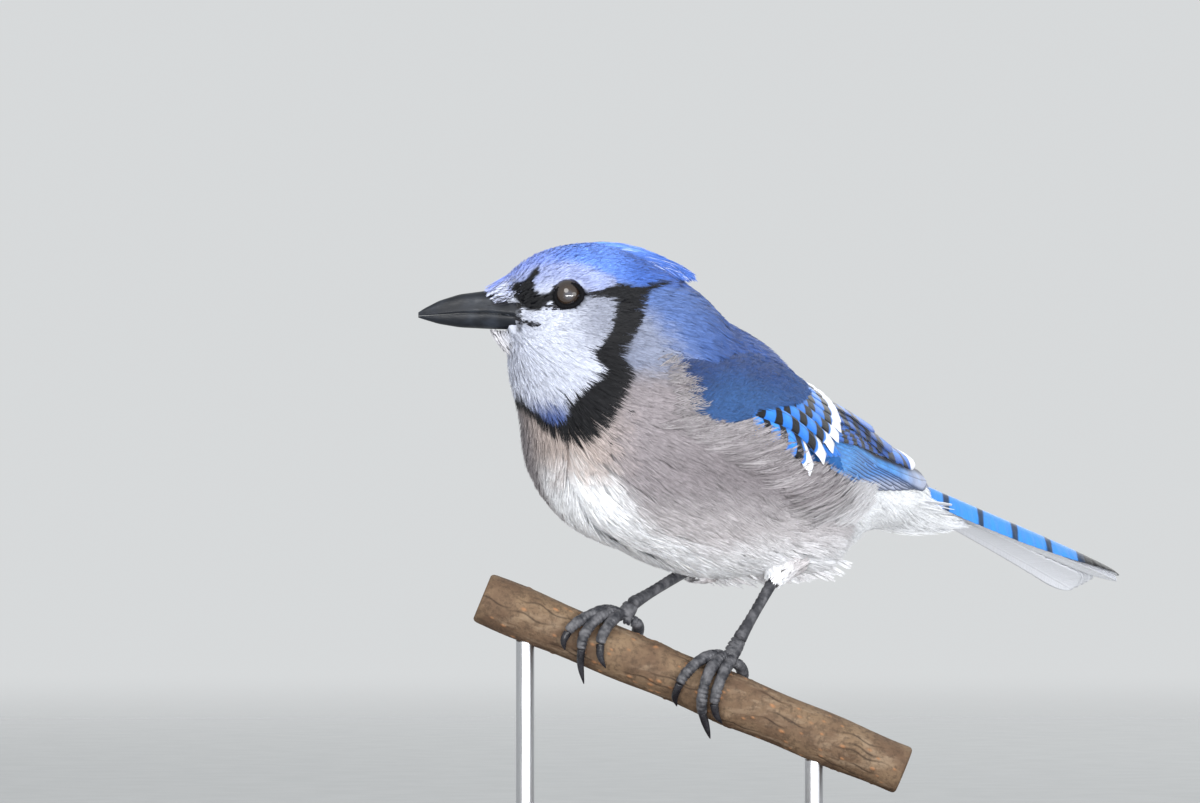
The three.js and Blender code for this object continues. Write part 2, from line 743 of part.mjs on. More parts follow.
const eyes = [1, -1];
const eyeRoom = eyes.map((side) => toSolid(eyeSphere(side, EYE_RADIUS + GAP)));
const headSolid = cutClear(joined([head, ...eyes.map(lidRing), ...crest(), ...nasalPlumes()]), ...eyeRoom);
addNode('head', toGeometry(headSolid), COLOURS.crown);
eyes.forEach((side) => {
  const name = side === 1 ? 'eye_left' : 'eye_right';
  addNode(name, toGeometry(toSolid(eyeSphere(side, EYE_RADIUS))), COLOURS.eye, 0.1);
});

const grownPlumes = joined(nasalPlumes(GAP));
const billUpper = cutClear(toSolid(mandible(CULMEN, 1)), grownHead, grownPlumes);
const billLower = cutClear(toSolid(mandible(GONYS, -1)), grownHead, grownPlumes);
addNode('bill_upper', toGeometry(billUpper), COLOURS.bill, 0.45);
addNode('bill_lower', toGeometry(billLower), COLOURS.bill, 0.45);

// Perch: a cut length of branch, sloping down to the right, with a few raised bud scars
const PERCH = makeFrame(new THREE.Vector3(0, 0, PERCH_HEIGHT), 0, -PERCH_SLOPE);
const PERCH_SIDES = 14;
const PERCH_RINGS = 16;
const SCARS = [
  [-13.2, 35, 0.9],
  [9, 140, 0.7],
  [43, 80, 1.1],
  [-48, 60, 0.8],
];

function perchRadius(along, angle) {
  const waviness = 0.18 * Math.sin(along * 0.21) + 0.14 * Math.sin(along * 0.09 + 2 * angle);
  const scars = SCARS.reduce((sum, [at, turn, height]) => {
    const apart = angle - degrees(turn);
    const around = Math.atan2(Math.sin(apart), Math.cos(apart)) * PERCH_RADIUS;
    return sum + height * Math.exp(-(((along - at) / 3) ** 2) - (around / 3.4) ** 2);
  }, 0);
  return PERCH_RADIUS + waviness + scars;
}

// angle is 0 on top of the perch and 90 degrees on the side that faces -Y
function onPerch(along, angle, radius) {
  return place(PERCH, [along, -radius * Math.sin(angle), radius * Math.cos(angle)]);
}

function perchSolid(grow) {
  const rings = Array.from({ length: PERCH_RINGS + 1 }, (_, ring) => {
    const along = PERCH_FROM - grow + ((PERCH_TO - PERCH_FROM + 2 * grow) * ring) / PERCH_RINGS;
    return Array.from({ length: PERCH_SIDES }, (_side, side) => {
      const angle = (2 * Math.PI * side) / PERCH_SIDES;
      return onPerch(along, angle, perchRadius(along, angle) + grow);
    });
  });
  const start = place(PERCH, [PERCH_FROM - grow, 0, 0]);
  const end = place(PERCH, [PERCH_TO + grow, 0, 0]);
  return toSolid(loft(rings, start, end));
}

const perch = perchSolid(0);
const grownPerch = perchSolid(GAP + 0.05);
addNode('perch', toGeometry(perch), COLOURS.bark, 0.9);

// Legs: x, y and height above the perch's middle of each tarsus, from foot to belly
const LEGS = {
  left: {
    foot: [10.3, 0.5, 12.4],
    belly: [19.5, 10.7, 27.9],
    palm: [4.2, 9.2],
    toes: [
      {
        path: [[7, 0, 9.3], [9.5, -40, 8.6], [10, -85, 8.5], [9.5, -118, 8.4]],
        claw: [[8.9, -130, 8.4], [8, -141, 8.6]],
      },
      {
        path: [[2, 5, 9.8], [-2.4, 38, 8.9], [-5, 80, 8.5], [-5.4, 98, 8.3]],
        claw: [[-5.2, 124, 8.6], [-3.8, 140, 9]],
      },
      {
        path: [[2.4, 12, 9.9], [0.6, 62, 8.8], [1.6, 108, 8.5], [3.2, 138, 8.3]],
        claw: [[5.4, 152, 10], [7.6, 160, 12.2]],
      },
      {
        path: [[4.8, 8, 9.9], [4.2, 48, 8.8], [4.4, 86, 8.5], [5, 108, 8.3]],
        claw: [[6.8, 126, 8.8], [9, 136, 9.2]],
      },
    ],
  },
  right: {
    foot: [-17.9, 0.5, 21.8],
    belly: [-4.7, 15.2, 29.6],
    palm: [-25.5, 9.2],
    toes: [
      {
        path: [[-22, 0, 9.2], [-20.5, -40, 8.6], [-20, -85, 8.5], [-20.5, -118, 8.4]],
        claw: [[-21, -130, 8.4], [-22, -141, 8.6]],
      },
      {
        path: [[-26.6, 6, 9.9], [-28.2, 40, 8.9], [-28.9, 70, 8.5], [-28.6, 86, 8.3]],
        claw: [[-27.2, 108, 8.5], [-24.9, 122, 8.9]],
      },
      {
        path: [[-28, 8, 9.9], [-32, 46, 8.8], [-33.4, 84, 8.5], [-32.7, 108, 8.3]],
        claw: [[-31.2, 134, 9.6], [-28.6, 152, 12.2]],
      },
      {
        path: [[-29, 4, 9.8], [-34, 42, 8.8], [-37, 74, 8.5], [-37.7, 88, 8.3]],
        claw: [[-37.8, 106, 8.6], [-36.6, 120, 8.9]],
      },
    ],
  },
};
const TOE_SIDES = 6;
const TARSUS_SIDES = 8;
const CLAW_RADII = [1.15, 1, 0.65, 0.15];

function abovePerch([x, y, height]) {
  return new THREE.Vector3(x, y, PERCH_HEIGHT + height);
}

function perchPoint([along, turn, radius]) {
  return onPerch(along, degrees(turn), radius);
}

function tarsusSolid(leg, grow) {
  const foot = abovePerch(leg.foot);
  const belly = abovePerch(leg.belly);
  const axis = belly.clone().sub(foot).normalize();
  const length = foot.distanceTo(belly);
  const stations = [[-grow, 1.9], [2, 1.7], [6, 1.45], [11, 1.4], [16, 1.45], [length + 12, 1.7]];
  const points = stations.map(([distance]) => foot.clone().addScaledVector(axis, distance));
  return toSolid(limb(points, stations.map(([, radius]) => radius + grow), TARSUS_SIDES));
}

function thighCuff(leg) {
  const foot = abovePerch(leg.foot);
  const belly = abovePerch(leg.belly);
  const axis = belly.clone().sub(foot).normalize();
  const stations = [[-3.5, 2.3], [-1.5, 3.2], [2, 4.6], [7, 6]];
  const points = stations.map(([distance]) => belly.clone().addScaledVector(axis, distance));
  return toSolid(limb(points, stations.map(([, radius]) => radius), 8));
}

function footSolid(leg, grow = 0) {
  const foot = abovePerch(leg.foot);
  const palm = onPerch(leg.palm[0], 0, leg.palm[1]);
  const ankleRadii = [1.9, 2.2, 2].map((radius) => radius + grow);
  const ankle = limb([foot, foot.clone().lerp(palm, 0.5), palm], ankleRadii, 8);
  const toes = leg.toes.map((toe) => {
    const points = [palm, ...toe.path.map(perchPoint)];
    const radii = [1.6, 1.5, 1.62, 1.38, 1.5, 1.25];
    const steps = radii.map((_, step) => alongCurve(points, step / (radii.length - 1)));
    const end = steps[steps.length - 1];
    end.addScaledVector(end.clone().sub(steps[steps.length - 2]).normalize(), grow);
    return limb(steps, radii.map((radius) => radius + grow), TOE_SIDES, PERCH.forward);
  });
  return cutClear(joined([ankle, ...toes]), grownPerch, tarsusSolid(leg, GAP));
}

function clawSolid(toe, grownFoot) {
  const points = [...toe.path.slice(-1), ...toe.claw].map(perchPoint);
  const steps = [0, 0.35, 0.7, 1].map((part) => alongCurve(points, part));
  const claw = limb(steps, CLAW_RADII, TOE_SIDES, PERCH.forward);
  return cutClear(toSolid(claw), grownPerch, grownFoot);
}

for (const [name, leg] of Object.entries(LEGS)) {
  const grownTarsus = tarsusSolid(leg, GAP);
  addNode(`thigh_${name}`, toGeometry(cutClear(thighCuff(leg), grownBody, grownTarsus)), COLOURS.belly);
  addNode(`tarsus_${name}`, toGeometry(cutClear(tarsusSolid(leg, 0), grownBody)), COLOURS.leg, 0.5);
  const grownFoot = footSolid(leg, GAP);
  addNode(`foot_${name}`, toGeometry(footSolid(leg)), COLOURS.leg, 0.5);
  leg.toes.forEach((toe, index) => {
    addNode(`claw_${name}_${index + 1}`, toGeometry(clawSolid(toe, grownFoot)), COLOURS.claw, 0.35);
  });
}

// Stand: a flat base and two rods that end under the perch
const ROD_PLACES = [-46, 30];
const BASE_CORNER = 18;
const BASE_BEVEL = 1.5;

function baseGeometry() {
  const halfLength = BASE_LENGTH / 2 - BASE_BEVEL;
  const halfDepth = BASE_DEPTH / 2 - BASE_BEVEL;
  const outline = new THREE.Shape();
  outline.absarc(halfLength - BASE_CORNER, halfDepth - BASE_CORNER, BASE_CORNER, 0, Math.PI / 2);
  outline.absarc(BASE_CORNER - halfLength, halfDepth - BASE_CORNER, BASE_CORNER, Math.PI / 2, Math.PI);
  outline.absarc(BASE_CORNER - halfLength, BASE_CORNER - halfDepth, BASE_CORNER, Math.PI, 1.5 * Math.PI);
  const right = halfLength - BASE_CORNER;
  outline.absarc(right, BASE_CORNER - halfDepth, BASE_CORNER, 1.5 * Math.PI, 2 * Math.PI);
  outline.closePath();
  const board = new THREE.ExtrudeGeometry(outline, {
    depth: BASE_THICKNESS - 2 * BASE_BEVEL,
    bevelThickness: BASE_BEVEL,
    bevelSize: BASE_BEVEL,
    bevelSegments: 1,
    curveSegments: 5,
  });
  board.translate(0, 0, BASE_BEVEL);
  return toGeometry(toSolid(board));
}

addNode('stand_base', baseGeometry(), COLOURS.base, 0.4);
ROD_PLACES.forEach((x, index) => {
  const top = PERCH_HEIGHT - x * Math.tan(degrees(PERCH_SLOPE));
  const from = new THREE.Vector3(x, 0, BASE_THICKNESS + GAP);
  const rod = limb([from, new THREE.Vector3(x, 0, top)], [ROD_RADIUS, ROD_RADIUS], 12, PERCH.left);
  addNode(`stand_rod_${index + 1}`, toGeometry(cutClear(toSolid(rod), grownPerch)), COLOURS.rod, 0.3, 0.9);
});

export default jay;
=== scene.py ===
import math

import bpy
import numpy as np
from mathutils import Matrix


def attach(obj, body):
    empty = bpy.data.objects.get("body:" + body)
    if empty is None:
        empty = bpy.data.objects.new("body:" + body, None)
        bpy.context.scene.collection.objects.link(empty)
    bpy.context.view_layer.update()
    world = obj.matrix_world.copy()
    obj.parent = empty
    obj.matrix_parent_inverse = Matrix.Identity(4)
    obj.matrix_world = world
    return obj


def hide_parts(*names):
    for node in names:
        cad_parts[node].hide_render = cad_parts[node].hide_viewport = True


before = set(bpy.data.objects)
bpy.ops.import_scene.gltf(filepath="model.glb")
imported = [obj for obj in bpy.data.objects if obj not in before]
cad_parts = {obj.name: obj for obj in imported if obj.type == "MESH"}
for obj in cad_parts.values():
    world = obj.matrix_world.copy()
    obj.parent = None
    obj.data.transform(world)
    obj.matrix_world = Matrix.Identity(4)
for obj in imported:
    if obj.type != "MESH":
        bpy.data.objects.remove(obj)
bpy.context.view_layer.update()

import openvdb
from mathutils import Vector

MM = 0.001
RNG = np.random.default_rng(27)
UP = np.array([0.0, 0.0, 1.0])

# Driving sizes
PERCH_HEIGHT = 48.0
PERCH_SLOPE = 22.4
PERCH_RADIUS = 6.7
PERCH_FROM = -62.0
PERCH_TO = 58.0
BODY_YAW = 228.0
HEAD_YAW = 180.0
TAIL_PITCH = 17.0
TAIL_LENGTH = 127.0
EYE_RADIUS = 4.4
EYE_SINK = 3.1
SIDES = {1: "left", -1: "right"}
BASE_SIZE = (75.0, 60.0, 10.0)
BASE_CORNER = 18.0
BASE_BEVEL = 1.5
ROD_PLACES = (-46.0, 30.0)
ROD_RADIUS = 2.4


def unit(vectors):
    vectors = np.asarray(vectors, float)
    return vectors / np.maximum(np.linalg.norm(vectors, axis=-1, keepdims=True), 1e-12)


def smooth(low, high, value):
    """0 below low, 1 above high, and an even curve between them."""
    share = np.clip((np.asarray(value, float) - low) / (high - low), 0, 1)
    return share * share * (3 - 2 * share)


def dot(a, b):
    return np.sum(a * b, axis=-1)


def turns(sides):
    """Even angles round a ring."""
    return 2 * np.pi * np.arange(sides) / sides


def to_sides(count):
    """-1 and 1 in turn, as many as count, and 1 for the left."""
    return np.where(np.arange(count) % 2, 1.0, -1.0)


def varied(colour, spread, count, barbs):
    """Colours, each barb's or each feather's a little lighter or darker."""
    return colour * (1 + RNG.normal(0, spread, (count, barbs, 1)))


class Axes:
    """An origin with forward, left and up axes. Its places are (forward, left, up)."""

    def __init__(self, origin, yaw, pitch=0.0):
        turn, tilt = math.radians(yaw), math.radians(pitch)
        ahead = np.array([math.cos(turn), math.sin(turn), 0.0])
        self.origin = np.asarray(origin, float)
        self.left = np.cross(UP, ahead)
        self.forward = ahead * math.cos(tilt) + UP * math.sin(tilt)
        self.up = np.cross(self.forward, self.left)

    def place(self, local):
        local = np.asarray(local, float)
        ahead, left, up = (local[..., k:k + 1] for k in range(3))
        return self.origin + ahead * self.forward + left * self.left + up * self.up

    def local(self, points):
        offset = points - self.origin
        return np.stack([offset @ self.forward, offset @ self.left, offset @ self.up], -1)


BODY = Axes((-2.6, 8, PERCH_HEIGHT + 65), BODY_YAW)
TAIL = Axes(BODY.place([-47.6, 0, -0.4]), BODY_YAW - 180, -TAIL_PITCH)
HEAD = Axes((-34.5, -13, PERCH_HEIGHT + 102.8), HEAD_YAW)
PERCH = Axes((0, 0, PERCH_HEIGHT), 0, -PERCH_SLOPE)

# Body form: a smooth blend of ellipsoids, as (axes, centre, radii, pitch)
BLEND = 8.0
MASSES = [
    (BODY, (3, 0, -2.5), (48, 33.5, 31), 24),
    (BODY, (22, 0, 3.5), (26, 30, 31), 20),
    (BODY, (-33, 0, -12), (34, 21, 19), 10),
    (BODY, (-6, 0, 13), (32, 24, 17), 24),
    (HEAD, (-22, 0, -14), (19, 18, 19), 0),
    (TAIL, (8, 0, -3), (36, 11, 8), -3),
    (TAIL, (15, 0, -9.5), (36, 12.5, 10), 14),
    (HEAD, (-5.5, 0, -1), (21, 13.5, 15), 0),
    (HEAD, (5.5, 0, -2.5), (12.5, 9.3, 10), 0),
    (HEAD, (-5.5, 0, -7), (16, 15, 12), 0),
    (HEAD, (0, 0, -18.5), (15.3, 15, 15), 0),
    (BODY, (-27, 12.5, -25), (17, 9.5, 9), 12),
    (BODY, (-27, -12.5, -25), (17, 9.5, 9), 12),
]
FORM_LOW = np.array([-62.0, -52.0, 70.0])
FORM_HIGH = np.array([76.0, 96.0, 176.0])
FORM_STEP = 1.1


def mass_distance(points, axes, centre, radii, pitch):
    tilt = math.radians(pitch)
    forward = axes.forward * math.cos(tilt) + axes.up * math.sin(tilt)
    up = axes.up * math.cos(tilt) - axes.forward * math.sin(tilt)
    offset = points - axes.place(centre)
    scaled = np.stack([offset @ forward, offset @ axes.left, offset @ up], -1) / radii
    size = np.linalg.norm(scaled, axis=-1)
    slope = np.linalg.norm(scaled / radii, axis=-1)
    return size * (size - 1) / np.maximum(slope, 1e-9)


class Form:
    """The body's surface kept on a grid: distance outside it and the direction in which that grows."""

    def __init__(self):
        self.count = ((FORM_HIGH - FORM_LOW) / FORM_STEP).astype(int)
        edges = [FORM_LOW[k] + FORM_STEP * np.arange(self.count[k]) for k in range(3)]
        self.points = np.stack(np.meshgrid(*edges, indexing="ij"), -1)
        field = np.full(self.count, 1e3)
        for mass in MASSES:
            other = mass_distance(self.points, *mass)
            near = np.maximum(BLEND - np.abs(field - other), 0) / BLEND
            field = np.minimum(field, other) - near * near * BLEND / 4
        self.field = field
        slopes = np.gradient(field, FORM_STEP)
        self.table = np.stack([field, *slopes], -1).astype(np.float32)

    def at(self, points):
        """(distance, slope) at points, read between the grid's corners."""
        place = np.clip((points - FORM_LOW) / FORM_STEP, 0, self.count - 1.001)
        cell = place.astype(int)
        part = (place - cell).astype(np.float32)
        total = 0
        for corner in range(8):
            bits = np.array([corner & 1, corner >> 1 & 1, corner >> 2 & 1])
            share = np.prod(np.where(bits, part, 1 - part), axis=-1)
            x, y, z = np.moveaxis(cell + bits, -1, 0)
            total = total + share[..., None] * self.table[x, y, z]
        return total[..., 0], total[..., 1:]

    def settle(self, points, height, rounds=2):
        """Moves points along the slope until they lie at a height over the surface."""
        for _ in range(rounds):
            distance, slope = self.at(points)
            step = (height - distance) / np.maximum(dot(slope, slope), 0.05)
            points = points + np.clip(step, -6, 6)[..., None] * slope
        return points, unit(self.at(points)[1])


FORM = Form()


def coat_depth(points):
    """How far the skin lies under the coat's outer surface."""
    from_head = np.linalg.norm(HEAD.local(points) * (0.7, 1, 1), axis=-1)
    return 0.9 + 1.1 * smooth(16, 42, from_head)


# Colours are written as seen in even light, then turned into linear light
def linear(colour):
    parts = np.array([(colour >> shift & 255) / 255 for shift in (16, 8, 0)])
    return np.where(parts <= 0.04045, parts / 12.92, ((parts + 0.055) / 1.055) ** 2.4)


FACE_WHITE = linear(0xC8CDDC)
CHEEK = linear(0x8A8F9F)
FOREHEAD = linear(0x8FA4EC)
BROW = linear(0x9BA7D4)
CROWN = linear(0x658CE0)
CREST = linear(0x4165B4)
NAPE = linear(0x566FA6)
MANTLE = linear(0x305296)
NECK_SIDE = linear(0x82889A)
BREAST = linear(0x857F83)
BREAST_FRONT = linear(0xB6A9A4)
BREAST_LOW = linear(0xD0CCCF)
BELLY = linear(0xF2F4F8)
BLACK = linear(0x0C0D12)
THROAT_BLUE = linear(0x3A5392)
LESSER = linear(0x264278)
LESSER_LOW = linear(0x34588C)
AZURE = linear(0x2F7CD6)
AZURE_DEEP = linear(0x1A2C58)
TILE = linear(0x2270CE)
TILE_DEEP = linear(0x1850A4)
VIOLET = linear(0x4468BE)
TAIL_BLUE = linear(0x4A9AE4)
TAIL_DEEP = linear(0x3482D4)
TAIL_WEB = linear(0x6E7484)
PRIMARY_BLUE = linear(0x4C92DC)
PRIMARY_DEEP = linear(0x3F7CC8)
VANE_GREY = linear(0x444957)
UNDER_GREY = linear(0x9A9EA8)
WHITE_VANE = linear(0xECEEF5)
WHITE_TIP = linear(0xE9EBF2)
PALE_END = linear(0xA0A8C0)
DARK_RIM = linear(0x26344F)
TIP_FRINGE = linear(0x9A9DA6)
SHAFT = (0.01, 0.01, 0.015)
# Eye colours: the grey centre is a painted reflection over the black pupil, round it a dark brown iris and
# a darker brown edge
PUPIL_PAINTED_REFLECTION = np.array([0.06, 0.06, 0.07])
IRIS = np.array([0.03, 0.02, 0.014])
EYE_EDGE = np.array([0.014, 0.008, 0.006])

# Markings on the head as seen from the side, (forward, up) from the eye
BAND = [
    (-14, 3.2), (-13.4, -1.2), (-13.1, -4.7), (-11.9, -9.1), (-9.6, -12.9), (-7.5, -15), (-8.7, -17.6),
    (-11.1, -19.7), (-10.2, -21.5), (-7.2, -23.6), (-4.3, -26.2), (-2, -28.2), (-0.5, -31.7), (0.7, -34.2),
    (3.3, -34.8), (6.3, -33.2), (9.2, -31), (11.5, -29), (18, -26.5), (18, -28.5), (11.6, -31.5),
    (9.2, -33.8), (6.8, -36.2), (3.3, -39), (-2, -40.3), (-6.5, -40), (-10, -37), (-13.2, -32.6),
    (-16, -27.4), (-17.2, -23.5), (-18.4, -20.5), (-17.2, -18.8), (-15.6, -16.5), (-17.1, -14.1),
    (-17.7, -11.2),
    (-19.5, -8.2), (-20.9, -4.7), (-21.6, -0.6), (-22.3, 0.8), (-24.5, 2.2), (-27.5, 2.9), (-27.5, 3.9),
    (-24, 3.5), (-20, 2.1), (-17, 2.8),
]
LORE = [
    (7.5, 8.1), (9.2, 6.7), (11, 4.3), (14.3, 3.7), (14.8, 1.7), (13.6, -0.9), (12.3, -2.8), (9.8, -4),
    (6.8, -4), (5.2, -1.9), (3.6, -1.2), (3.6, 0.9), (6.8, 0.5), (8.5, 1.8), (8.8, 4.4), (7.2, 6.1),
]
EYE_LINE = [(-3, 0.9), (-8.2, 1.2), (-14.2, 3.4), (-15, -0.9), (-8.2, -0.2), (-3, -0.5)]
FACE = [
    (40, 6), (16, 4.6), (8, 9), (-1, 9.4), (-8, 7), (-13.5, 4.4), (-16, 2), (-17, -4), (-14, -11),
    (-11.5, -16), (-14.5, -20), (-11, -26), (-6, -32), (-2, -36.5), (3, -36.3), (8, -33.6), (12, -29.8),
    (40, -27),
]
NECK_PALE = [
    (-12, -17), (-15, -8), (-19, -3), (-23.5, -5), (-28, -13), (-31, -18.5), (-24.9, -20.5), (-16, -21),
]
CROWN_EDGE = [
    (16.5, 4.4), (12.5, 6.8), (9.5, 8.2), (5, 9), (-1, 9.2), (-6, 7.9), (-10.2, 6.1), (-13.5, 4.4),
    (-17.2, 2.9), (-20, 1.9), (-24, 2.2), (-40, 2.2),
]


def polygon_depth(places, corners):
    """How far places lie inside a polygon, less than 0 outside it."""
    corners = np.asarray(corners, float)
    nearest = np.full(places.shape[:-1], 1e9)
    inside = np.zeros(places.shape[:-1], bool)
    for a, b in zip(corners, np.roll(corners, -1, axis=0)):
        along = b - a
        part = np.clip(((places - a) @ along) / (along @ along), 0, 1)
        nearest = np.minimum(nearest, np.linalg.norm(places - a - part[..., None] * along, axis=-1))
        crosses = (a[1] > places[..., 1]) != (b[1] > places[..., 1])
        where = a[0] + (places[..., 1] - a[1]) * along[0] / (along[1] if abs(along[1]) > 1e-9 else 1e-9)
        inside ^= crosses & (places[..., 0] < where)
    return np.where(inside, nearest, -nearest)


def line_height(line, x):
    """Height of a polyline at x, its points going from high x to low x."""
    line = np.asarray(line, float)[::-1]
    return np.interp(x, line[:, 0], line[:, 1])


def mixed(a, b, share):
    return a + (b - a) * share[..., None]


# Lower edge of the blue along the body, (forward, up)
BLUE_EDGE = [
    (60, 18), (45, 17.5), (33, 18.5), (28, 16), (20, 13), (0, 8), (-20, 3), (-45, 1), (-60, -5.5),
    (-90, -14.8), (-120, -24),
]


def plumage(points):
    """Colour of the plumage at points on the body, the same for the skin and the coat."""
    body, head, tail = BODY.local(points), HEAD.local(points), TAIL.local(points)
    forward, up = head[..., 0], head[..., 2]
    side = np.stack([forward, up], -1)

    # body: blue above, warm grey breast and flanks, white along the belly's middle and at the vent
    chest = smooth(33, 47, body[..., 0] - 0.5 * np.abs(body[..., 1] - 2))
    colour = mixed(BREAST, BREAST_FRONT, chest)
    colour = mixed(colour, BREAST_LOW, 0.85 * smooth(-8, -27, body[..., 2]) * (1 - chest))
    middle = smooth(17, 9, np.abs(body[..., 1])) * smooth(-4, -15, body[..., 2])
    middle = np.maximum(middle, 0.8 * smooth(-22, -31, body[..., 2]))
    vent = smooth(-37, -47, body[..., 0]) * smooth(0, -5, body[..., 2])
    top = smooth(-3.5, -0.5, tail[..., 2]) * smooth(7.5, 4.5, np.abs(tail[..., 1]))
    under_tail = smooth(-4, 6, tail[..., 0]) * (1 - np.maximum(top, smooth(-1.4, 0.8, tail[..., 2])))
    colour = mixed(colour, BELLY, np.maximum(np.maximum(middle, vent), under_tail))
    above = body[..., 2] - line_height(BLUE_EDGE, body[..., 0]) - 0.03 * np.abs(body[..., 1])
    back = mixed(MANTLE, NAPE, smooth(16, 46, body[..., 0] + 0.6 * (body[..., 2] - 10)))
    colour = mixed(colour, back, smooth(-1.5, 2.5, above) * (1 - under_tail))
    colour = mixed(colour, NECK_SIDE, 0.9 * smooth(-4, 4, polygon_depth(side, NECK_PALE)))

    # head: white face and throat in front of the band, blue crown above, black lines
    fringe = smooth(-27, -33.5, up) * smooth(-3, 1, forward)
    face = mixed(FACE_WHITE, CHEEK, smooth(5, -10, forward) * smooth(-22, -7, up))
    face = mixed(face, THROAT_BLUE, 0.95 * fringe)
    colour = mixed(colour, face, smooth(-0.6, 0.6, polygon_depth(side, FACE)))
    crown_over = up - line_height(CROWN_EDGE, forward)
    on_head = smooth(-36, -31, forward) * smooth(-4, 0, up)
    brow = smooth(-10, -2, crown_over) * smooth(-17, -9, forward) * smooth(-0.5, 1.5, up)
    colour = mixed(colour, BROW, brow * on_head)
    crown = mixed(CROWN, FOREHEAD, smooth(-4, 12, forward))
    crown = mixed(crown, CREST, smooth(-10, -20, forward))
    colour = mixed(colour, crown, smooth(-1.6, 1.6, crown_over) * on_head)
    black = np.max([polygon_depth(side, lines) for lines in (BAND, LORE, EYE_LINE)], axis=0)
    colour = mixed(colour, BLACK, smooth(-0.45, 0.45, black))
    ring = np.hypot(forward, up * 1.1)
    return mixed(colour, BLACK, smooth(4.5, 4.1, ring) * smooth(4, 8, np.abs(head[..., 1])))


# Direction in which the feathers lie
BILL_ROOT = HEAD.place([20, 0, -3.5])


def lie(points, normals):
    """Unit directions along the surface in which the feathers point at points."""
    head = HEAD.local(points)
    body = BODY.local(points)
    from_bill = unit(points - BILL_ROOT)
    tilt = math.radians(14)
    tailward = -BODY.forward * math.cos(tilt) - BODY.up * math.sin(tilt)
    droop = smooth(-10, 30, body[..., 0]) * smooth(20, -20, body[..., 2])
    flank = np.where(body[..., 1:2] > 0, 1.0, -1.0) * BODY.left
    flank = flank * (smooth(0, 30, body[..., 0]) * 0.35)[..., None]
    on_body = unit(tailward - UP * (0.45 * droop)[..., None] + flank)
    back_of_head = unit(from_bill + HEAD.up * (0.25 * smooth(-6, 6, head[..., 2]))[..., None])
    distance = np.linalg.norm(head * (0.8, 1, 1) - (-2, 0, -8), axis=-1)
    share = smooth(16, 36, distance)[..., None]
    flow = unit(back_of_head * (1 - share) + on_body * share)
    rump = smooth(-6, 10, TAIL.local(points)[..., 0])[..., None]
    flow = unit(flow * (1 - rump) + TAIL.forward * rump)
    return unit(flow - dot(flow, normals)[..., None] * normals)


# Meshes
def new_object(name, mesh, materials):
    piece = bpy.data.objects.new(name, mesh)
    bpy.context.scene.collection.objects.link(piece)
    for material in materials if isinstance(materials, (list, tuple)) else [materials]:
        mesh.materials.append(material)
    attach(piece, "root")
    return piece


def fill_mesh(name, points, faces, smooth_faces=True):
    """A mesh from points in millimetres and faces that all have the same number of corners."""
    points = np.asarray(points, float).reshape(-1, 3)
    faces = np.asarray(faces, np.int32)
    corners = faces.shape[1]
    mesh = bpy.data.meshes.new(name)
    mesh.vertices.add(len(points))
    mesh.vertices.foreach_set("co", (points * MM).astype(np.float32).ravel())
    mesh.loops.add(faces.size)
    mesh.loops.foreach_set("vertex_index", faces.ravel())
    mesh.polygons.add(len(faces))
    mesh.polygons.foreach_set("loop_start", np.arange(0, faces.size, corners, dtype=np.int32))
    mesh.update(calc_edges=True)
    mesh.polygons.foreach_set("use_smooth", np.full(len(faces), smooth_faces))
    return mesh


def add_colours(mesh, name, colours):
    attribute = mesh.color_attributes.new(name, "FLOAT_COLOR", "POINT")
    rgba = np.ones((len(mesh.vertices), 4), np.float32)
    rgba[:, :3] = np.asarray(colours, np.float32).reshape(-1, 3)
    attribute.data.foreach_set("color", rgba.ravel())


def add_uv(mesh, name, uv_of_points):
    layer = mesh.uv_layers.new(name=name)
    index = np.zeros(len(mesh.loops), np.int32)
    mesh.loops.foreach_get("vertex_index", index)
    layer.data.foreach_set("uv", np.asarray(uv_of_points, np.float32).reshape(-1, 2)[index].ravel())


def grid_faces(rows, columns, wrap=False):
    """Quads of a grid of points, its columns closed into a ring if wrap is true."""
    i = np.arange(rows - 1)[:, None]
    j = np.arange(columns if wrap else columns - 1)[None, :]
    k = (j + 1) % columns
    quads = np.stack([i * columns + j, i * columns + k, (i + 1) * columns + k, (i + 1) * columns + j], -1)
    return quads.reshape(-1, 4)


def outward(points, quads, ways):
    """Turns all quads over if they face against ways, the directions out of the form at its points."""
    a, b, c = (points[quads[:, k]] for k in range(3))
    return quads[:, ::-1] if dot(np.cross(b - a, c - a), ways[quads[:, 0]]).sum() < 0 else quads


def tube(rings):
    """Points and quads of a tube from rings (n, sides, 3), its ends closed about a middle point."""
    count, sides = rings.shape[:2]
    points = rings.reshape(-1, 3)
    quads = grid_faces(count, sides, wrap=True)
    ends = []
    for row, flip in ((0, True), (count - 1, False)):
        middle = len(points)
        points = np.vstack([points, rings[row].mean(0)])
        base = row * sides
        for side in range(0, sides, 2):
            corners = [middle, base + side, base + (side + 1) % sides, base + (side + 2) % sides]
            ends.append(corners[::-1] if flip else corners)
    quads = np.vstack([quads, ends])
    return points, outward(points, quads, points - points.mean(0))


def closed_piece(name, rings, material):
    """A closed tube as a piece that takes the place of the node of its name."""
    points, quads = tube(rings)
    mesh = fill_mesh(name, points, quads)
    piece = new_object(name, mesh, material)
    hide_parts(name)
    return mesh


def ring_points(centres, radii, sides, look, squash=None):
    """Rings round a path: centres (n, 3), radii (n,) or (n, sides)."""
    centres = np.asarray(centres, float)
    ahead = unit(np.gradient(centres, axis=0))
    across = unit(np.cross(look, ahead))
    over = np.cross(ahead, across)
    angle = turns(sides)
    radii = np.asarray(radii, float)
    radii = radii[:, None] if radii.ndim == 1 else radii
    flat = 1.0 if squash is None else np.asarray(squash, float)[:, None]
    wide = (radii * np.cos(angle))[..., None] * across[:, None]
    tall = (radii * flat * np.sin(angle))[..., None] * over[:, None]
    return centres[:, None] + wide + tall


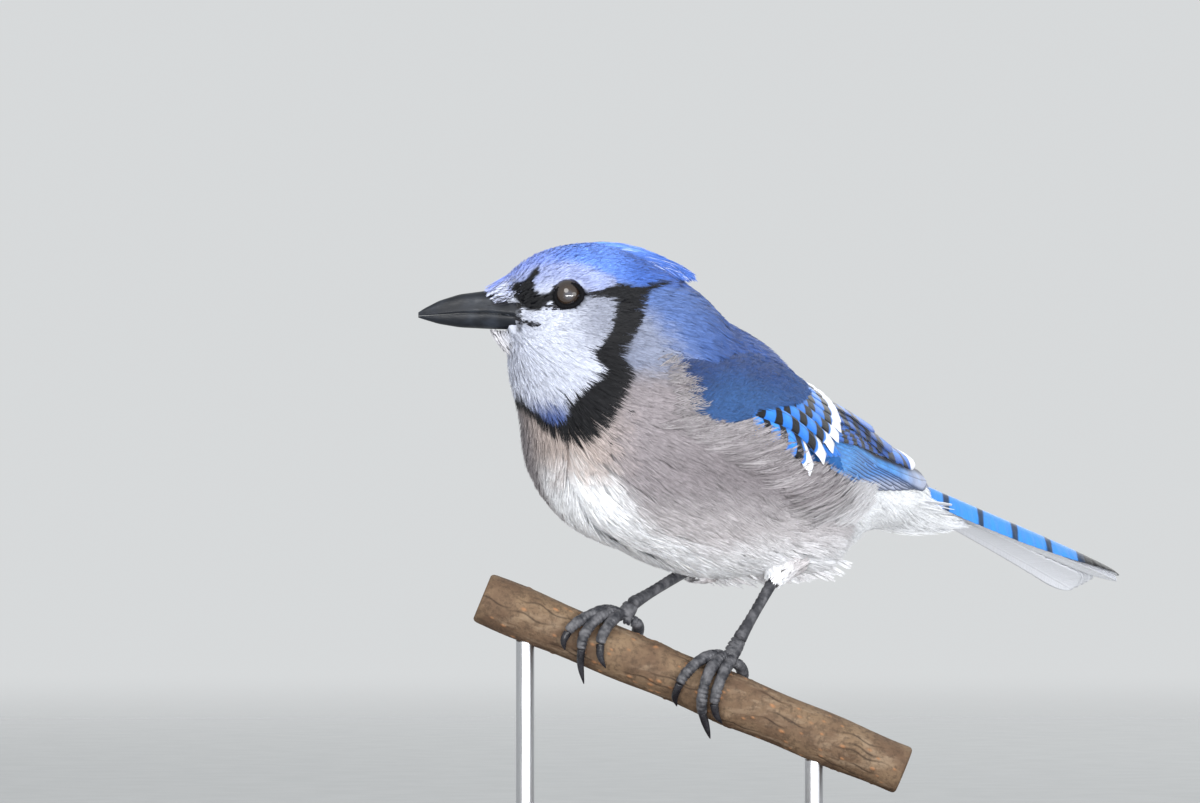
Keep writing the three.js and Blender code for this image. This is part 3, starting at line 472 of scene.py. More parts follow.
def curve(points, parts):
    """Places on a smooth centripetal curve through points, parts from 0 to 1."""
    points = np.asarray(points, float)
    parts = np.asarray(parts, float)
    padded = np.vstack([2 * points[0] - points[1], points, 2 * points[-1] - points[-2]])
    scaled = np.clip(parts, 0, 1) * (len(points) - 1)
    index = np.minimum(scaled.astype(int), len(points) - 2)
    w = (scaled - index)[..., None]
    p0, p1, p2, p3 = (padded[index + k] for k in range(4))
    d0, d1, d2 = (np.maximum(np.linalg.norm(b - a, axis=-1), 1e-9)[..., None] ** 0.5
                  for a, b in ((p0, p1), (p1, p2), (p2, p3)))
    t1 = ((p1 - p0) / d0 - (p2 - p0) / (d0 + d1) + (p2 - p1) / d1) * d1
    t2 = ((p2 - p1) / d1 - (p3 - p1) / (d1 + d2) + (p3 - p2) / d2) * d1
    return p1 + t1 * w + (-3 * p1 + 3 * p2 - 2 * t1 - t2) * w ** 2 + (2 * p1 - 2 * p2 + t1 + t2) * w ** 3


def resampled(points, steps):
    """A curve through points, cut into even steps."""
    fine = curve(points, np.linspace(0, 1, 400))
    length = np.concatenate([[0], np.cumsum(np.linalg.norm(np.diff(fine, axis=0), axis=1))])
    even = np.linspace(0, length[-1], steps)
    return np.stack([np.interp(even, length, fine[:, k]) for k in range(3)], -1), length[-1]


# Materials
class Graph:
    """A material's nodes, made by short calls. Sockets are passed as values."""

    def __init__(self, name):
        self.material = bpy.data.materials.new(name)
        self.material.use_nodes = True
        self.nodes = self.material.node_tree.nodes
        self.links = self.material.node_tree.links
        self.shader = self.nodes["Principled BSDF"]

    def put(self, node, key, value):
        socket = node.inputs[key]
        if isinstance(value, bpy.types.NodeSocket):
            self.links.new(value, socket)
        elif socket.type == "RGBA" and len(value) == 3:
            socket.default_value = (*value, 1.0)
        else:
            socket.default_value = value

    def node(self, kind, inputs=(), **settings):
        node = self.nodes.new("ShaderNode" + kind)
        for key, value in settings.items():
            setattr(node, key, value)
        for key, value in dict(inputs).items():
            self.put(node, key, value)
        return node

    def math(self, operation, a, b=0.0, c=0.0):
        return self.node("Math", {0: a, 1: b, 2: c}, operation=operation).outputs[0]

    def times(self, a, b):
        return self.math("MULTIPLY", a, b)

    def plus(self, a, b):
        return self.math("ADD", a, b)

    def times_plus(self, a, b, c):
        return self.math("MULTIPLY_ADD", a, b, c)

    def away(self, a, b=0.0):
        """The distance of a from b."""
        return self.math("ABSOLUTE", self.math("SUBTRACT", a, b) if b else a)

    def step(self, value, low, high, start=0.0, end=1.0):
        """start below low, end above high, an even curve between."""
        limits = {"Value": value, "From Min": low, "From Max": high, "To Min": start, "To Max": end}
        return self.node("MapRange", limits, interpolation_type="SMOOTHSTEP").outputs["Result"]

    def mix(self, share, a, b, blend="MIX"):
        node = self.node("Mix", data_type="RGBA", blend_type=blend)
        for key, value in ((0, share), (6, a), (7, b)):
            self.put(node, key, value)
        return node.outputs[2]

    def shaded(self, colour, shade):
        """A colour times a shade."""
        return self.mix(1.0, colour, self.join(shade, shade, shade), "MULTIPLY")

    def place(self):
        return self.node("NewGeometry").outputs["Position"]

    def scaled(self, vector, x, y, z):
        return self.node("VectorMath", {0: vector, 1: (x, y, z)}, operation="MULTIPLY").outputs[0]

    def join(self, x, y, z=0.0):
        return self.node("CombineXYZ", {"X": x, "Y": y, "Z": z}).outputs[0]

    def noise(self, vector, scale, detail=3.0, rough=0.55):
        inputs = {"Vector": vector, "Scale": scale, "Detail": detail, "Roughness": rough}
        return self.node("TexNoise", inputs).outputs["Fac"]

    def attribute(self, name):
        return self.node("Attribute", attribute_name=name).outputs["Color"]

    def split(self, colour):
        return self.node("SeparateColor", {"Color": colour}).outputs

    def uv(self, name):
        return self.node("SeparateXYZ", {0: self.node("UVMap", uv_map=name).outputs[0]}).outputs

    def bump(self, height, strength, distance):
        node = self.node("Bump", {"Height": height, "Strength": strength, "Distance": distance * MM})
        return node.outputs["Normal"]

    def finish(self, **inputs):
        for key, value in inputs.items():
            self.put(self.shader, key.replace("_", " "), value)
        return self.material


def feather_sheen(graph, roughness, sheen):
    graph.finish(Roughness=roughness, Sheen_Weight=sheen, Sheen_Roughness=0.45, Specular_IOR_Level=0.28)


def coat_material(name):
    """Small body feathers: the colour comes with each barb, with fine streaks over it."""
    graph = Graph(name)
    streaks = graph.noise(graph.place(), 900.0, 2.0)
    patches = graph.noise(graph.place(), 120.0, 2.0)
    shade = graph.plus(graph.step(streaks, 0.3, 0.7, 0.9, 1.06), graph.step(patches, 0.3, 0.7, -0.05, 0.05))
    colour = graph.shaded(graph.attribute("Plumage"), shade)
    feather_sheen(graph, 0.66, 0.12)
    return graph.finish(Base_Color=colour)


def skin_material():
    """Down under the coat: the same markings, darker as painted shade, as in the gaps between feathers."""
    graph = Graph("skin_down_shaded")
    down = graph.noise(graph.place(), 900.0, 3.0)
    # painted shade: the markings made up to a sixth darker in a fine random pattern
    shade = graph.step(down, 0.3, 0.7, 0.84, 1.0)
    colour = graph.shaded(graph.attribute("Plumage"), shade)
    graph.finish(Normal=graph.bump(down, 0.6, 0.4))
    return graph.finish(Base_Color=colour, Roughness=0.9, Specular_IOR_Level=0.1)


# A vane's map holds lengths in mm times MAP_SCALE, its data the length of white tips in mm over TIP_SCALE
MAP_SCALE = 0.01
TIP_SCALE = 50.0


def vane_material(name, blue, deep, web, bars=None, under=None, streak=0.12, dark_tip=0.0, pale_end=0.0,
                  shift=0.0):
    """A flight feather. The map Vane holds the place across (0 to 1) and the distance from the tip; the
    attribute Feather holds the length of the white tip, the strength of the bars, a shade of its own and
    where the underside shows. bars are their spacing, width and first place in mm."""
    graph = Graph(name)
    place = graph.uv("Vane")
    across = graph.times_plus(place["X"], 2.0, -1.0)
    off_shaft = graph.away(across)
    from_tip = graph.times(place["Y"], 1 / MAP_SCALE)
    feather = graph.split(graph.attribute("Feather"))
    white, strength, own = (feather[k] for k in ("Red", "Green", "Blue"))
    bend = graph.times(across, across)
    wobble = graph.noise(graph.join(graph.times(across, 2.0), from_tip, own), 0.35, 2.0)
    curved = graph.plus(from_tip, graph.times_plus(wobble, 1.2, graph.times(bend, -1.1)))

    # blue between the shaft and a darker edge, the inner web plain
    barbs = graph.noise(graph.join(graph.times_plus(off_shaft, 3.0, from_tip), own, 0.0), 5.0, 3.0, 0.7)
    blue_now = graph.mix(graph.step(off_shaft, 0.1, 0.95), blue, deep)
    if pale_end:
        blue_now = graph.mix(graph.step(from_tip, pale_end + 5, pale_end - 8), blue_now, PALE_END)
        blue_now = graph.mix(graph.step(off_shaft, 0.62, 0.95, 0.0, 0.8), blue_now, DARK_RIM)
    colour = graph.mix(graph.step(across, -0.2, -0.75), blue_now, web)
    if bars:
        spacing, width, first = bars
        count = graph.math("DIVIDE", graph.math("SUBTRACT", curved, first), spacing)
        count = graph.times_plus(own, shift, count)
        near = graph.away(graph.math("FRACT", graph.plus(count, 10.5)), 0.5)
        half = 0.5 * width / spacing
        bar = graph.times(graph.step(near, half + 0.035, half - 0.035), strength)
        bar = graph.times(bar, graph.step(from_tip, first - 0.45 * spacing, first - 0.4 * spacing))
        colour = graph.mix(bar, colour, BLACK)
        # painted highlight: the blue between the bars lightened near the shaft, as on rounded, lit segments
        painted_highlight = graph.times(graph.step(near, 0.25, 0.5), graph.step(off_shaft, 0.8, 0.1))
        colour = graph.mix(graph.times(painted_highlight, 0.35), colour, blue, "SCREEN")
    if dark_tip:
        colour = graph.mix(graph.step(curved, dark_tip + 1.2, dark_tip - 1.2), colour, BLACK)
        colour = graph.mix(graph.step(from_tip, 1.1, 0.5), colour, TIP_FRINGE)
    if under is not None:
        below = graph.node("Attribute", attribute_name="Feather").outputs["Alpha"]
        colour = graph.mix(below, colour, under)

    # white tip and shaft
    tip_edge = graph.times_plus(bend, -0.5, graph.math("SUBTRACT", curved, -0.6))
    tip_edge = graph.math("SUBTRACT", graph.times(white, TIP_SCALE), tip_edge)
    in_tip = graph.times(graph.step(tip_edge, -0.25, 0.25), graph.step(white, 0.0, 0.02))
    colour = graph.mix(in_tip, colour, WHITE_TIP)
    shaft = graph.step(off_shaft, 0.07, 0.02)
    colour = graph.mix(graph.times(shaft, graph.times_plus(in_tip, -0.36, 0.45)), colour, SHAFT)
    shade = graph.step(barbs, 0.3, 0.7, 1 - streak, 1 + streak)
    shade = graph.plus(shade, graph.times_plus(own, 0.16, -0.08))
    height = graph.plus(barbs, graph.times(shaft, 2.0))
    feather_sheen(graph, 0.42, 0.15)
    return graph.finish(Base_Color=graph.shaded(colour, shade), Normal=graph.bump(height, 0.35, 0.12))


# Small feathers, each a fan of barbs off a hidden shaft
BARB_PARTS = np.array([0.0, 0.38, 0.74, 1.0])
BARB_WIDTHS = np.array([1.0, 0.95, 0.65, 0.0])
BARB_TRIANGLES = np.array([[0, 3, 1], [0, 2, 3], [2, 5, 3], [2, 4, 5], [4, 6, 5]])
BARB_CORNERS = 7
CORNER_PARTS = [0, 0, 1, 1, 2, 2, 3]
# Painted shade along each barb: darkest at the root, where it lies under other feathers and shows in the
# gaps, a touch lighter at the tip
CORNER_PAINTED_SHADE = np.array([0.72, 0.72, 0.9, 0.9, 1.0, 1.0, 1.04])
BAKE_SPOT = 0.0015


def barb_lines(count, barbs, splay, silky=0.0):
    """Middle lines of the barbs of flat feathers, as shares of length and half width, in an array
    (count, barbs, 4, 2). Silky feathers have long barbs that lie along the feather."""
    rank = (np.arange(barbs) + 0.5) / barbs
    side = np.where(np.arange(barbs) % 2, 1.0, -1.0)
    silky = np.broadcast_to(silky, count)[:, None]
    start = 0.05 - 0.03 * silky + (0.8 - 0.2 * silky) * rank ** 0.9 + RNG.normal(0, 0.02, (count, barbs))
    end = start + (1.02 - start) * (0.62 + 0.2 * silky + RNG.normal(0, 0.06, (count, barbs)))
    outline = np.sin(np.pi * np.clip(end, 0, 0.999) ** 0.8) ** 0.65
    wide = side * outline * (splay + RNG.normal(0, 0.1, (count, barbs)))
    first, second, third = (1 - BARB_PARTS) ** 2, 2 * BARB_PARTS * (1 - BARB_PARTS), BARB_PARTS ** 2
    bent = start + 0.42 * (end - start)
    x = first * start[..., None] + second * bent[..., None] + third * end[..., None]
    y = second * (0.62 * wide)[..., None] + third * wide[..., None]
    return np.stack([x, y], -1)


def blades(lines, normals, widths, twist):
    """Corners and shading normals of flat blades along lines (..., 4, 3)."""
    ahead = unit(np.gradient(lines, axis=-2))
    across = unit(np.cross(normals, ahead))
    turned = across * np.cos(twist)[..., None, None] + normals * np.sin(twist)[..., None, None]
    facing = unit(normals * np.cos(twist)[..., None, None] - across * np.sin(twist)[..., None, None])
    half = (0.5 * widths[..., None] * BARB_WIDTHS)[..., None] * turned
    left, right = lines - half, lines + half
    corners = np.stack([left[..., 0, :], right[..., 0, :], left[..., 1, :], right[..., 1, :],
                        left[..., 2, :], right[..., 2, :], lines[..., 3, :]], -2)
    return corners, facing[..., CORNER_PARTS, :]


class Coat:
    """Small feathers gathered from several draws and made into a few meshes."""

    def __init__(self):
        self.corners, self.normals, self.colours, self.maps, self.groups = [], [], [], [], []

    def add(self, group, lines, normals, widths, colours, roots, local):
        """lines (feathers, barbs, 4, 3), colours (feathers, barbs, 3), roots and local for the flat map."""
        turn = RNG.normal(0, 0.3, lines.shape[:2])
        corners, facing = blades(lines, normals, widths, turn)
        self.corners.append(corners.reshape(-1, BARB_CORNERS, 3))
        self.normals.append(facing.reshape(-1, BARB_CORNERS, 3))
        # painted shade: each barb's colour darkened towards its root
        shades = colours[..., None, :] * CORNER_PAINTED_SHADE[:, None]
        self.colours.append(shades.reshape(-1, BARB_CORNERS, 3))
        spots = unwrap(roots)[:, None, None] + BAKE_SPOT * np.clip(local, -1, 1)
        self.maps.append(spots[..., CORNER_PARTS, :].reshape(-1, BARB_CORNERS, 2))
        self.groups += [group] * (lines.shape[0] * lines.shape[1])

    def build(self, slots, material):
        corners, normals = np.concatenate(self.corners), np.concatenate(self.normals)
        colours, maps = np.concatenate(self.colours), np.concatenate(self.maps)
        groups = np.array(self.groups)
        for name, slot in slots.items():
            chosen = np.flatnonzero(groups == name)
            faces = BARB_TRIANGLES[None] + BARB_CORNERS * np.arange(len(chosen))[:, None, None]
            mesh = fill_mesh("coat_" + name, corners[chosen], faces.reshape(-1, 3))
            add_colours(mesh, "Plumage", colours[chosen])
            add_uv(mesh, "OFBake", maps[chosen])
            mesh.normals_split_custom_set_from_vertices(normals[chosen].reshape(-1, 3))
            new_object("coat_" + name, mesh, material)


SPINE = np.vstack([
    HEAD.place([(26, 0, -4), (8, 0, -5), (-6, 0, -16)]),
    BODY.place([(34, 0, 12), (0, 0, 0), (-40, 0, -8)]),
    TAIL.place([(44, 0, -6)]),
])


def unwrap(points):
    """The body's own flat map: distance along its spine and angle round it, both within 0 to 1."""
    lengths = np.concatenate([[0], np.cumsum(np.linalg.norm(np.diff(SPINE, axis=0), axis=1))])
    best = np.full(points.shape[:-1], 1e9)
    along = np.zeros(points.shape[:-1])
    angle = np.zeros(points.shape[:-1])
    for k in range(len(SPINE) - 1):
        way = SPINE[k + 1] - SPINE[k]
        part = np.clip(((points - SPINE[k]) @ way) / (way @ way), 0, 1)
        offset = points - SPINE[k] - part[..., None] * way
        far = np.linalg.norm(offset, axis=-1)
        across = unit(np.cross(UP, unit(way)))
        over = np.cross(unit(way), across)
        turn = np.arctan2(offset @ over, offset @ across)
        nearer = far < best
        best = np.where(nearer, far, best)
        here = (lengths[k] + part * (lengths[k + 1] - lengths[k])) / lengths[-1]
        along = np.where(nearer, here, along)
        angle = np.where(nearer, turn / (2 * np.pi) + 0.5, angle)
    return 0.01 + 0.98 * np.stack([along, angle], -1)


# Room in the head for the bill's root: from how far forward, its top and bottom, and its half width
BILL_ROOM = (12.3, -1.8, -9.0, 4.4)


# Skin
def make_skin():
    values = FORM.field + coat_depth(FORM.points)
    head = HEAD.local(FORM.points)
    back, top, bottom, half = BILL_ROOM
    room = np.minimum(np.minimum(head[..., 0] - back, head[..., 2] - bottom), top - head[..., 2])
    values = np.maximum(values, np.minimum(room, np.abs(head[..., 1]) - half))
    grid = openvdb.FloatGrid(5.0)
    grid.copyFromArray(values.astype(np.float32))
    grid.transform = openvdb.createLinearTransform(voxelSize=FORM_STEP)
    points, quads = grid.convertToQuads(isovalue=0.0)
    points = points + FORM_LOW
    by_bill = HEAD.local(points)[:, 0] > 11
    settled, normals = FORM.settle(points, -coat_depth(points))
    points = np.where(by_bill[:, None], points, settled)
    quads = outward(points, quads, normals)
    mesh = fill_mesh("skin", points, quads)
    add_colours(mesh, "Plumage", plumage(points))
    skin = new_object("skin", mesh, skin_material())
    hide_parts("head", "neck", "torso", "thigh_left", "thigh_right")
    return points, quads


def eye_place(side):
    """Where the line through both eyes meets the surface."""
    outwards = HEAD.left * side
    low, high = 0.0, 30.0
    for _ in range(30):
        middle = (low + high) / 2
        inside = FORM.at((HEAD.origin + outwards * middle)[None])[0][0] < 0
        low, high = (middle, high) if inside else (low, middle)
    return HEAD.origin + outwards * low


EYES = {side: eye_place(side) for side in SIDES}


def roots_on_skin(points, quads, density):
    """Random places on the skin, so many to a square millimetre."""
    a, b, c, d = (points[quads[:, k]] for k in range(4))
    halves = [np.linalg.norm(np.cross(p - a, q - a), axis=1) for p, q in ((b, c), (c, d))]
    wanted = 0.5 * (halves[0] + halves[1]) * density((a + c) / 2)
    count = np.floor(wanted + RNG.random(len(wanted))).astype(int)
    index = np.repeat(np.arange(len(quads)), count)
    u, v = RNG.random((2, len(index), 1))
    return (a[index] * (1 - u) + b[index] * u) * (1 - v) + (d[index] * (1 - u) + c[index] * u) * v


def bare(points):
    """True where no body feather grows: on the eyes, under the bill's root and inside the tail."""
    head = HEAD.local(points)
    at_eye = (np.hypot(head[:, 0], head[:, 2]) < 4.0) & (np.abs(head[:, 1]) > 6)
    in_bill = (head[:, 0] > 12.3) & (head[:, 2] < -1.6) & (head[:, 2] > -9.2)
    in_tail = TAIL.local(points)[:, 0] > 46
    return at_eye | in_bill | in_tail


def body_feathers(coat, points, quads):
    """Draws of small feathers over the whole body, sized by how far they are from the bill."""
    def spread(places):
        return np.linalg.norm(places - BILL_ROOT, axis=-1)

    def density(places):
        return np.interp(spread(places), [10, 26, 40, 60, 90], [2.1, 1.3, 0.7, 0.4, 0.25])

    roots = roots_on_skin(points, quads, density)
    roots = roots[~bare(roots)]
    far = spread(roots)
    order = np.argsort(far)
    roots, far = roots[order], far[order]
    for low, high, barbs in ((0, 24, 11), (24, 44, 14), (44, 74, 18), (74, 200, 20)):
        chosen = (far >= low) & (far < high)
        lay_feathers(coat, roots[chosen], far[chosen], barbs)


def lay_feathers(coat, roots, reach, barbs):
    """Feathers from roots on the skin, each reach mm from the bill's root."""
    count = len(roots)
    normals = unit(FORM.at(roots)[1])
    flow = lie(roots, normals)
    swing = RNG.normal(0, 0.07, count)[:, None]
    across = np.cross(normals, flow)
    flow = unit(flow + across * swing)
    across = np.cross(normals, flow)
    head, body, tail = HEAD.local(roots), BODY.local(roots), TAIL.local(roots)
    length = np.interp(reach, [8, 16, 28, 44, 64, 90, 130], [2.4, 3.4, 5.6, 8.4, 12.5, 16.5, 17.5])
    half = np.interp(reach, [8, 16, 28, 44, 64, 90], [0.35, 0.5, 0.85, 1.4, 2.1, 2.5])
    throat = smooth(-6, -16, head[:, 2]) * smooth(-14, -6, head[:, 0]) * smooth(48, 34, reach)
    fluff = smooth(-8, -24, body[:, 2]) * smooth(10, -20, body[:, 0]) * smooth(-46, -36, body[:, 0])
    length = length * (1 + 0.95 * throat + 0.2 * fluff) * RNG.uniform(0.8, 1.15, count)
    half = half * (1 - 0.3 * throat) * RNG.uniform(0.85, 1.1, count)
    lines = barb_lines(count, barbs, 1.0, smooth(30, 60, reach))
    x = lines[..., 0] * length[:, None, None]
    y = lines[..., 1] * half[:, None, None]
    places = roots[:, None, None] + x[..., None] * flow[:, None, None]
    places = places + y[..., None] * across[:, None, None]
    depth = coat_depth(roots)
    top = 0.1 + 0.35 * throat + 1.1 * fluff + RNG.normal(0, 0.08, count)
    share = np.clip(x / length[:, None, None], 0, 1)
    height = -depth[:, None, None] * 0.75 + (top + 0.75 * depth)[:, None, None] * share ** 1.2
    height = height - 0.12 * np.abs(lines[..., 1]) ** 2 * half[:, None, None] * 0.4
    loose = 0.05 + 0.1 * throat + 0.25 * fluff
    height = height + RNG.normal(0, 1, (count, barbs, 1)) * share * loose[:, None, None]
    lines3, facing = FORM.settle(places, height)
    tips = roots + flow * (0.6 * length)[:, None]
    tips = tips + RNG.normal(0, 0.3, tips.shape) * np.interp(reach, [10, 60], [0.6, 1.6])[:, None]
    crown = smooth(5, 9, head[:, 2]) * smooth(44, 40, reach)
    uneven = (np.interp(reach, [20, 50], [0.09, 0.06]) + 0.1 * crown)[:, None, None]
    colour = plumage(np.where(reach[:, None, None] < 44, lines3[..., 3, :], tips[:, None]))
    colour = varied(colour, 0.02, count, 1)
    colour = np.clip(colour * (1 + RNG.normal(0, 1, (count, barbs, 1)) * uneven), 0, 1)
    width = np.interp(reach, [8, 30, 60, 120], [0.16, 0.21, 0.27, 0.33]) * (1 - 0.35 * throat)
    width = width[:, None] * RNG.uniform(0.8, 1.2, (count, barbs))
    zone = np.where(body[:, 2] > 6, "back", np.where(body[:, 2] > -12, "breast", "belly"))
    group = zone.astype(object) + np.where(body[:, 1] > 0, "_left", "_right").astype(object)
    group = np.where(tail[:, 0] > -6, "rump", group)
    group = np.where(reach < 44, np.where(head[:, 1] > 0, "head_left", "head_right"), group)
    for name in sorted(set(group)):
        chosen = group == name
        coat.add(name, *(values[chosen] for values in (lines3, facing, width, colour, roots, lines)))


COAT_SLOTS = {
    "head_left": "head_feathers", "head_right": "head_feathers", "crest": "head_feathers",
    "face": "head_feathers", "back_left": "back_feathers", "back_right": "back_feathers",
    "breast_left": "breast_feathers", "breast_right": "breast_feathers", "belly_left": "belly_feathers",
    "belly_right": "belly_feathers", "rump": "belly_feathers", "flank": "breast_feathers",
    "wing_left": "wing_feathers", "wing_right": "wing_feathers", "legs": "belly_feathers",
}


# Vanes: closed, thin blades on a guide surface
WING_LENGTH = 118.0
WING_BULGE = 7.0
UPPER_EDGE = [(28, 20, 23), (0, 14.5, 27), (-28, 10.5, 16), (-52, 6.8, 7), (-78, 3.6, -4), (-92, 3, -10.5)]
LOWER_EDGE = [
    (28, 31, 8), (0, 35.5, -5), (-28, 30.5, -13), (-52, 20, -14), (-78, 9, -13.5), (-92, 5.5, -12.5),
]


def matched(*values):
    return np.broadcast_arrays(*(np.asarray(value, float) for value in values))


def wing_guide(side):
    """Places on the folded wing: mm back from the wrist, mm down from its upper edge, mm outwards."""
    def guide(along, across, height):
        along, across, height = matched(along, across, height)
        part = np.clip(along / WING_LENGTH, 0, 1)
        upper, lower = curve(UPPER_EDGE, part), curve(LOWER_EDGE, part)
        span = lower - upper
        width = np.linalg.norm(span, axis=-1)
        share = across / width
        nothing = np.zeros_like(share)
        out = unit(np.stack([nothing, -span[..., 2], span[..., 1]], -1))
        within = np.clip(share, -0.1, 1.1)
        lean = unit(out + np.stack([nothing, (within - 0.5) * 0.9, (0.5 - within) * 0.9], -1))
        bulge = 4 * within * (1 - within) * WING_BULGE * np.minimum(1, width / 30)
        point = upper + span * share[..., None] + out * bulge[..., None] + lean * height[..., None]
        point[..., 0] -= np.maximum(0, along - WING_LENGTH) + np.minimum(0, along)
        place = BODY.place(point * (1, side, 1))

        # the wrist lies in the coat and the long feathers lie on the rump
        distance, slope = FORM.at(place)
        pull = np.clip(-0.3 + 0.55 * (height + 0.9) - distance, -8, 8) * smooth(10, -4, along)
        lift = np.clip(0.8 + 0.45 * (height + 3.5) - distance, 0, 6) * smooth(50, 75, along)
        return place + (pull + lift)[..., None] * unit(slope)
    return guide


def wing_width(along):
    part = np.clip([along / WING_LENGTH], 0, 1)
    return float(np.linalg.norm(curve(LOWER_EDGE, part) - curve(UPPER_EDGE, part)))


def wing_widths(places):
    return np.array([wing_width(max(along, 0)) for along in places])


def tail_guide(along, across, height):
    """Places on the folded tail: mm back from its root, mm to the right, mm up."""
    along, across, height = matched(along, across, height)
    part = np.clip(along / TAIL_LENGTH, 0.0, 1.0)
    arch = np.where(across > 0, 1.2, 3.6) * np.maximum(part, 0.2) ** 1.5
    droop = arch * np.abs(across / 14) ** 2.5 + 0.13 * np.maximum(-across, 0)
    return TAIL.place(np.stack([along, -across, height - droop + 1.2 * part ** 1.5], -1))


VANE_STEP = 0.8
VANE_THICK = 0.14


class Vanes:
    """Feather blades gathered into one mesh."""

    def __init__(self):
        self.points, self.faces, self.maps, self.data, self.count = [], [], [], [], 0

    def add(self, guide, start, end, inner, outer, heights, tilt=0.0, white=0.0, bars=0.0, roundness=0.8,
            opens=0.35, bow=0.0, camber=0.3, splits=2, columns=11, curl=0.0, ridge=0.25, hand=1):
        """A blade from start to end, (along, across) on the guide, reaching inner and outer mm to its
        sides. curl bends one side down by so many mm."""
        length = math.hypot(end[0] - start[0], end[1] - start[1])
        rows = max(int(length / VANE_STEP), 8)
        part = np.linspace(0, 1, rows)[:, None]
        opening = np.minimum(1, 0.45 + 0.55 * part / opens)
        closing = np.sqrt(np.maximum(0, 1 - (np.maximum(part - roundness, 0) / (1 - roundness)) ** 2))
        shape = np.maximum(opening * closing, 0.02)
        offset = np.linspace(-1, 1, columns)[None, :]
        side = np.where(offset < 0, inner, outer)
        wave = 1 + 0.02 * np.sin(part * length * 1.7 + RNG.uniform(0, 6)) + RNG.normal(0, 0.012, (rows, 1))
        reach = offset * side * shape * np.where(np.abs(offset) > 0.9, wave, 1)
        nick = np.zeros((rows, columns))
        for _ in range(splits):
            at, way, deep = RNG.uniform(0.45, 0.93), RNG.choice([-1, 1]), RNG.uniform(0.3, 1.0)
            near = np.exp(-((part - at) * length / 0.7) ** 2)
            nick += near * np.clip(way * offset, 0, 1) ** 3 * deep
        reach = reach - np.sign(offset) * nick
        lag = 0.9 * np.abs(reach) * smooth(0.9, 1.0, part) * 0.3
        along = start[0] + (end[0] - start[0]) * part - lag + 0 * offset
        across = start[1] + (end[1] - start[1]) * part + bow * np.sin(np.pi * part) + reach
        height = heights[0] + (heights[1] - heights[0]) * part + tilt * reach
        height = height - camber * offset ** 2 * shape
        height = height + ridge * np.exp(-(offset * 9) ** 2) * (1 - 0.6 * part)
        fall = abs(curl) * np.interp(part, [0.38, 0.57, 0.76, 0.87, 1], [1.45, 1.2, 0.8, 0.5, 0.3])
        height = height - fall * np.clip((offset * np.sign(curl) - 0.7) / 0.3, 0, 1) ** 1.3 * shape
        sheets = [guide(along, across, height + way * VANE_THICK / 2) for way in (1, -1)]
        from_tip = (1 - part) * length * MAP_SCALE
        map_now = np.stack(np.broadcast_arrays(0.5 + 0.5 * hand * offset, from_tip), -1)
        own = RNG.random()
        for under, sheet in enumerate(sheets):
            self.points.append(sheet.reshape(-1, 3))
            self.maps.append(map_now.reshape(-1, 2))
            data = np.tile([white / TIP_SCALE, bars, own, under], (rows * columns, 1))
            if curl:
                data[:, 3] *= np.tile(offset[0] * np.sign(curl) < 0.66, rows)
            self.data.append(data)
        top = grid_faces(rows, columns)
        below = top[:, ::-1] + rows * columns
        rim = np.concatenate([
            np.arange(columns), np.arange(1, rows) * columns + columns - 1,
            (rows - 1) * columns + np.arange(columns - 2, -1, -1), np.arange(rows - 2, 0, -1) * columns,
        ])
        after = np.roll(rim, -1)
        walls = np.stack([after, rim, rim + rows * columns, after + rows * columns], -1)
        faces = np.vstack([top, below, walls])
        points = np.vstack([sheet.reshape(-1, 3) for sheet in sheets])
        middle = rows // 2 * columns + columns // 2
        a, b, d = points[middle], points[middle + 1], points[middle + columns]
        if dot(np.cross(b - a, d - a), points[middle] - points[middle + rows * columns]) < 0:
            faces = faces[:, ::-1]
        self.faces.append(faces + self.count)
        self.count += 2 * rows * columns

    def build(self, name, slot, material, replaces=()):
        mesh = fill_mesh(name, np.vstack(self.points), np.vstack(self.faces))
        data = np.vstack(self.data)
        attribute = mesh.color_attributes.new("Feather", "FLOAT_COLOR", "POINT")
        attribute.data.foreach_set("color", data.astype(np.float32).ravel())
        add_uv(mesh, "Vane", np.vstack(self.maps))
        piece = new_object(name, mesh, material)
        if replaces:
            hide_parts(*replaces)


def tip_line(share):
    """How far back from the wrist the greater coverts end, by their place down the wing."""
    return 52 - 23 * share ** 2.6


def plain_line(share):
    """How far back the plain small coverts end, by their place down the wing."""
    return np.interp(share, [0, 0.2, 0.45, 0.6, 0.7, 0.82, 0.95, 1.05], [46, 43, 36, 30, 25, 18, 13, 12])


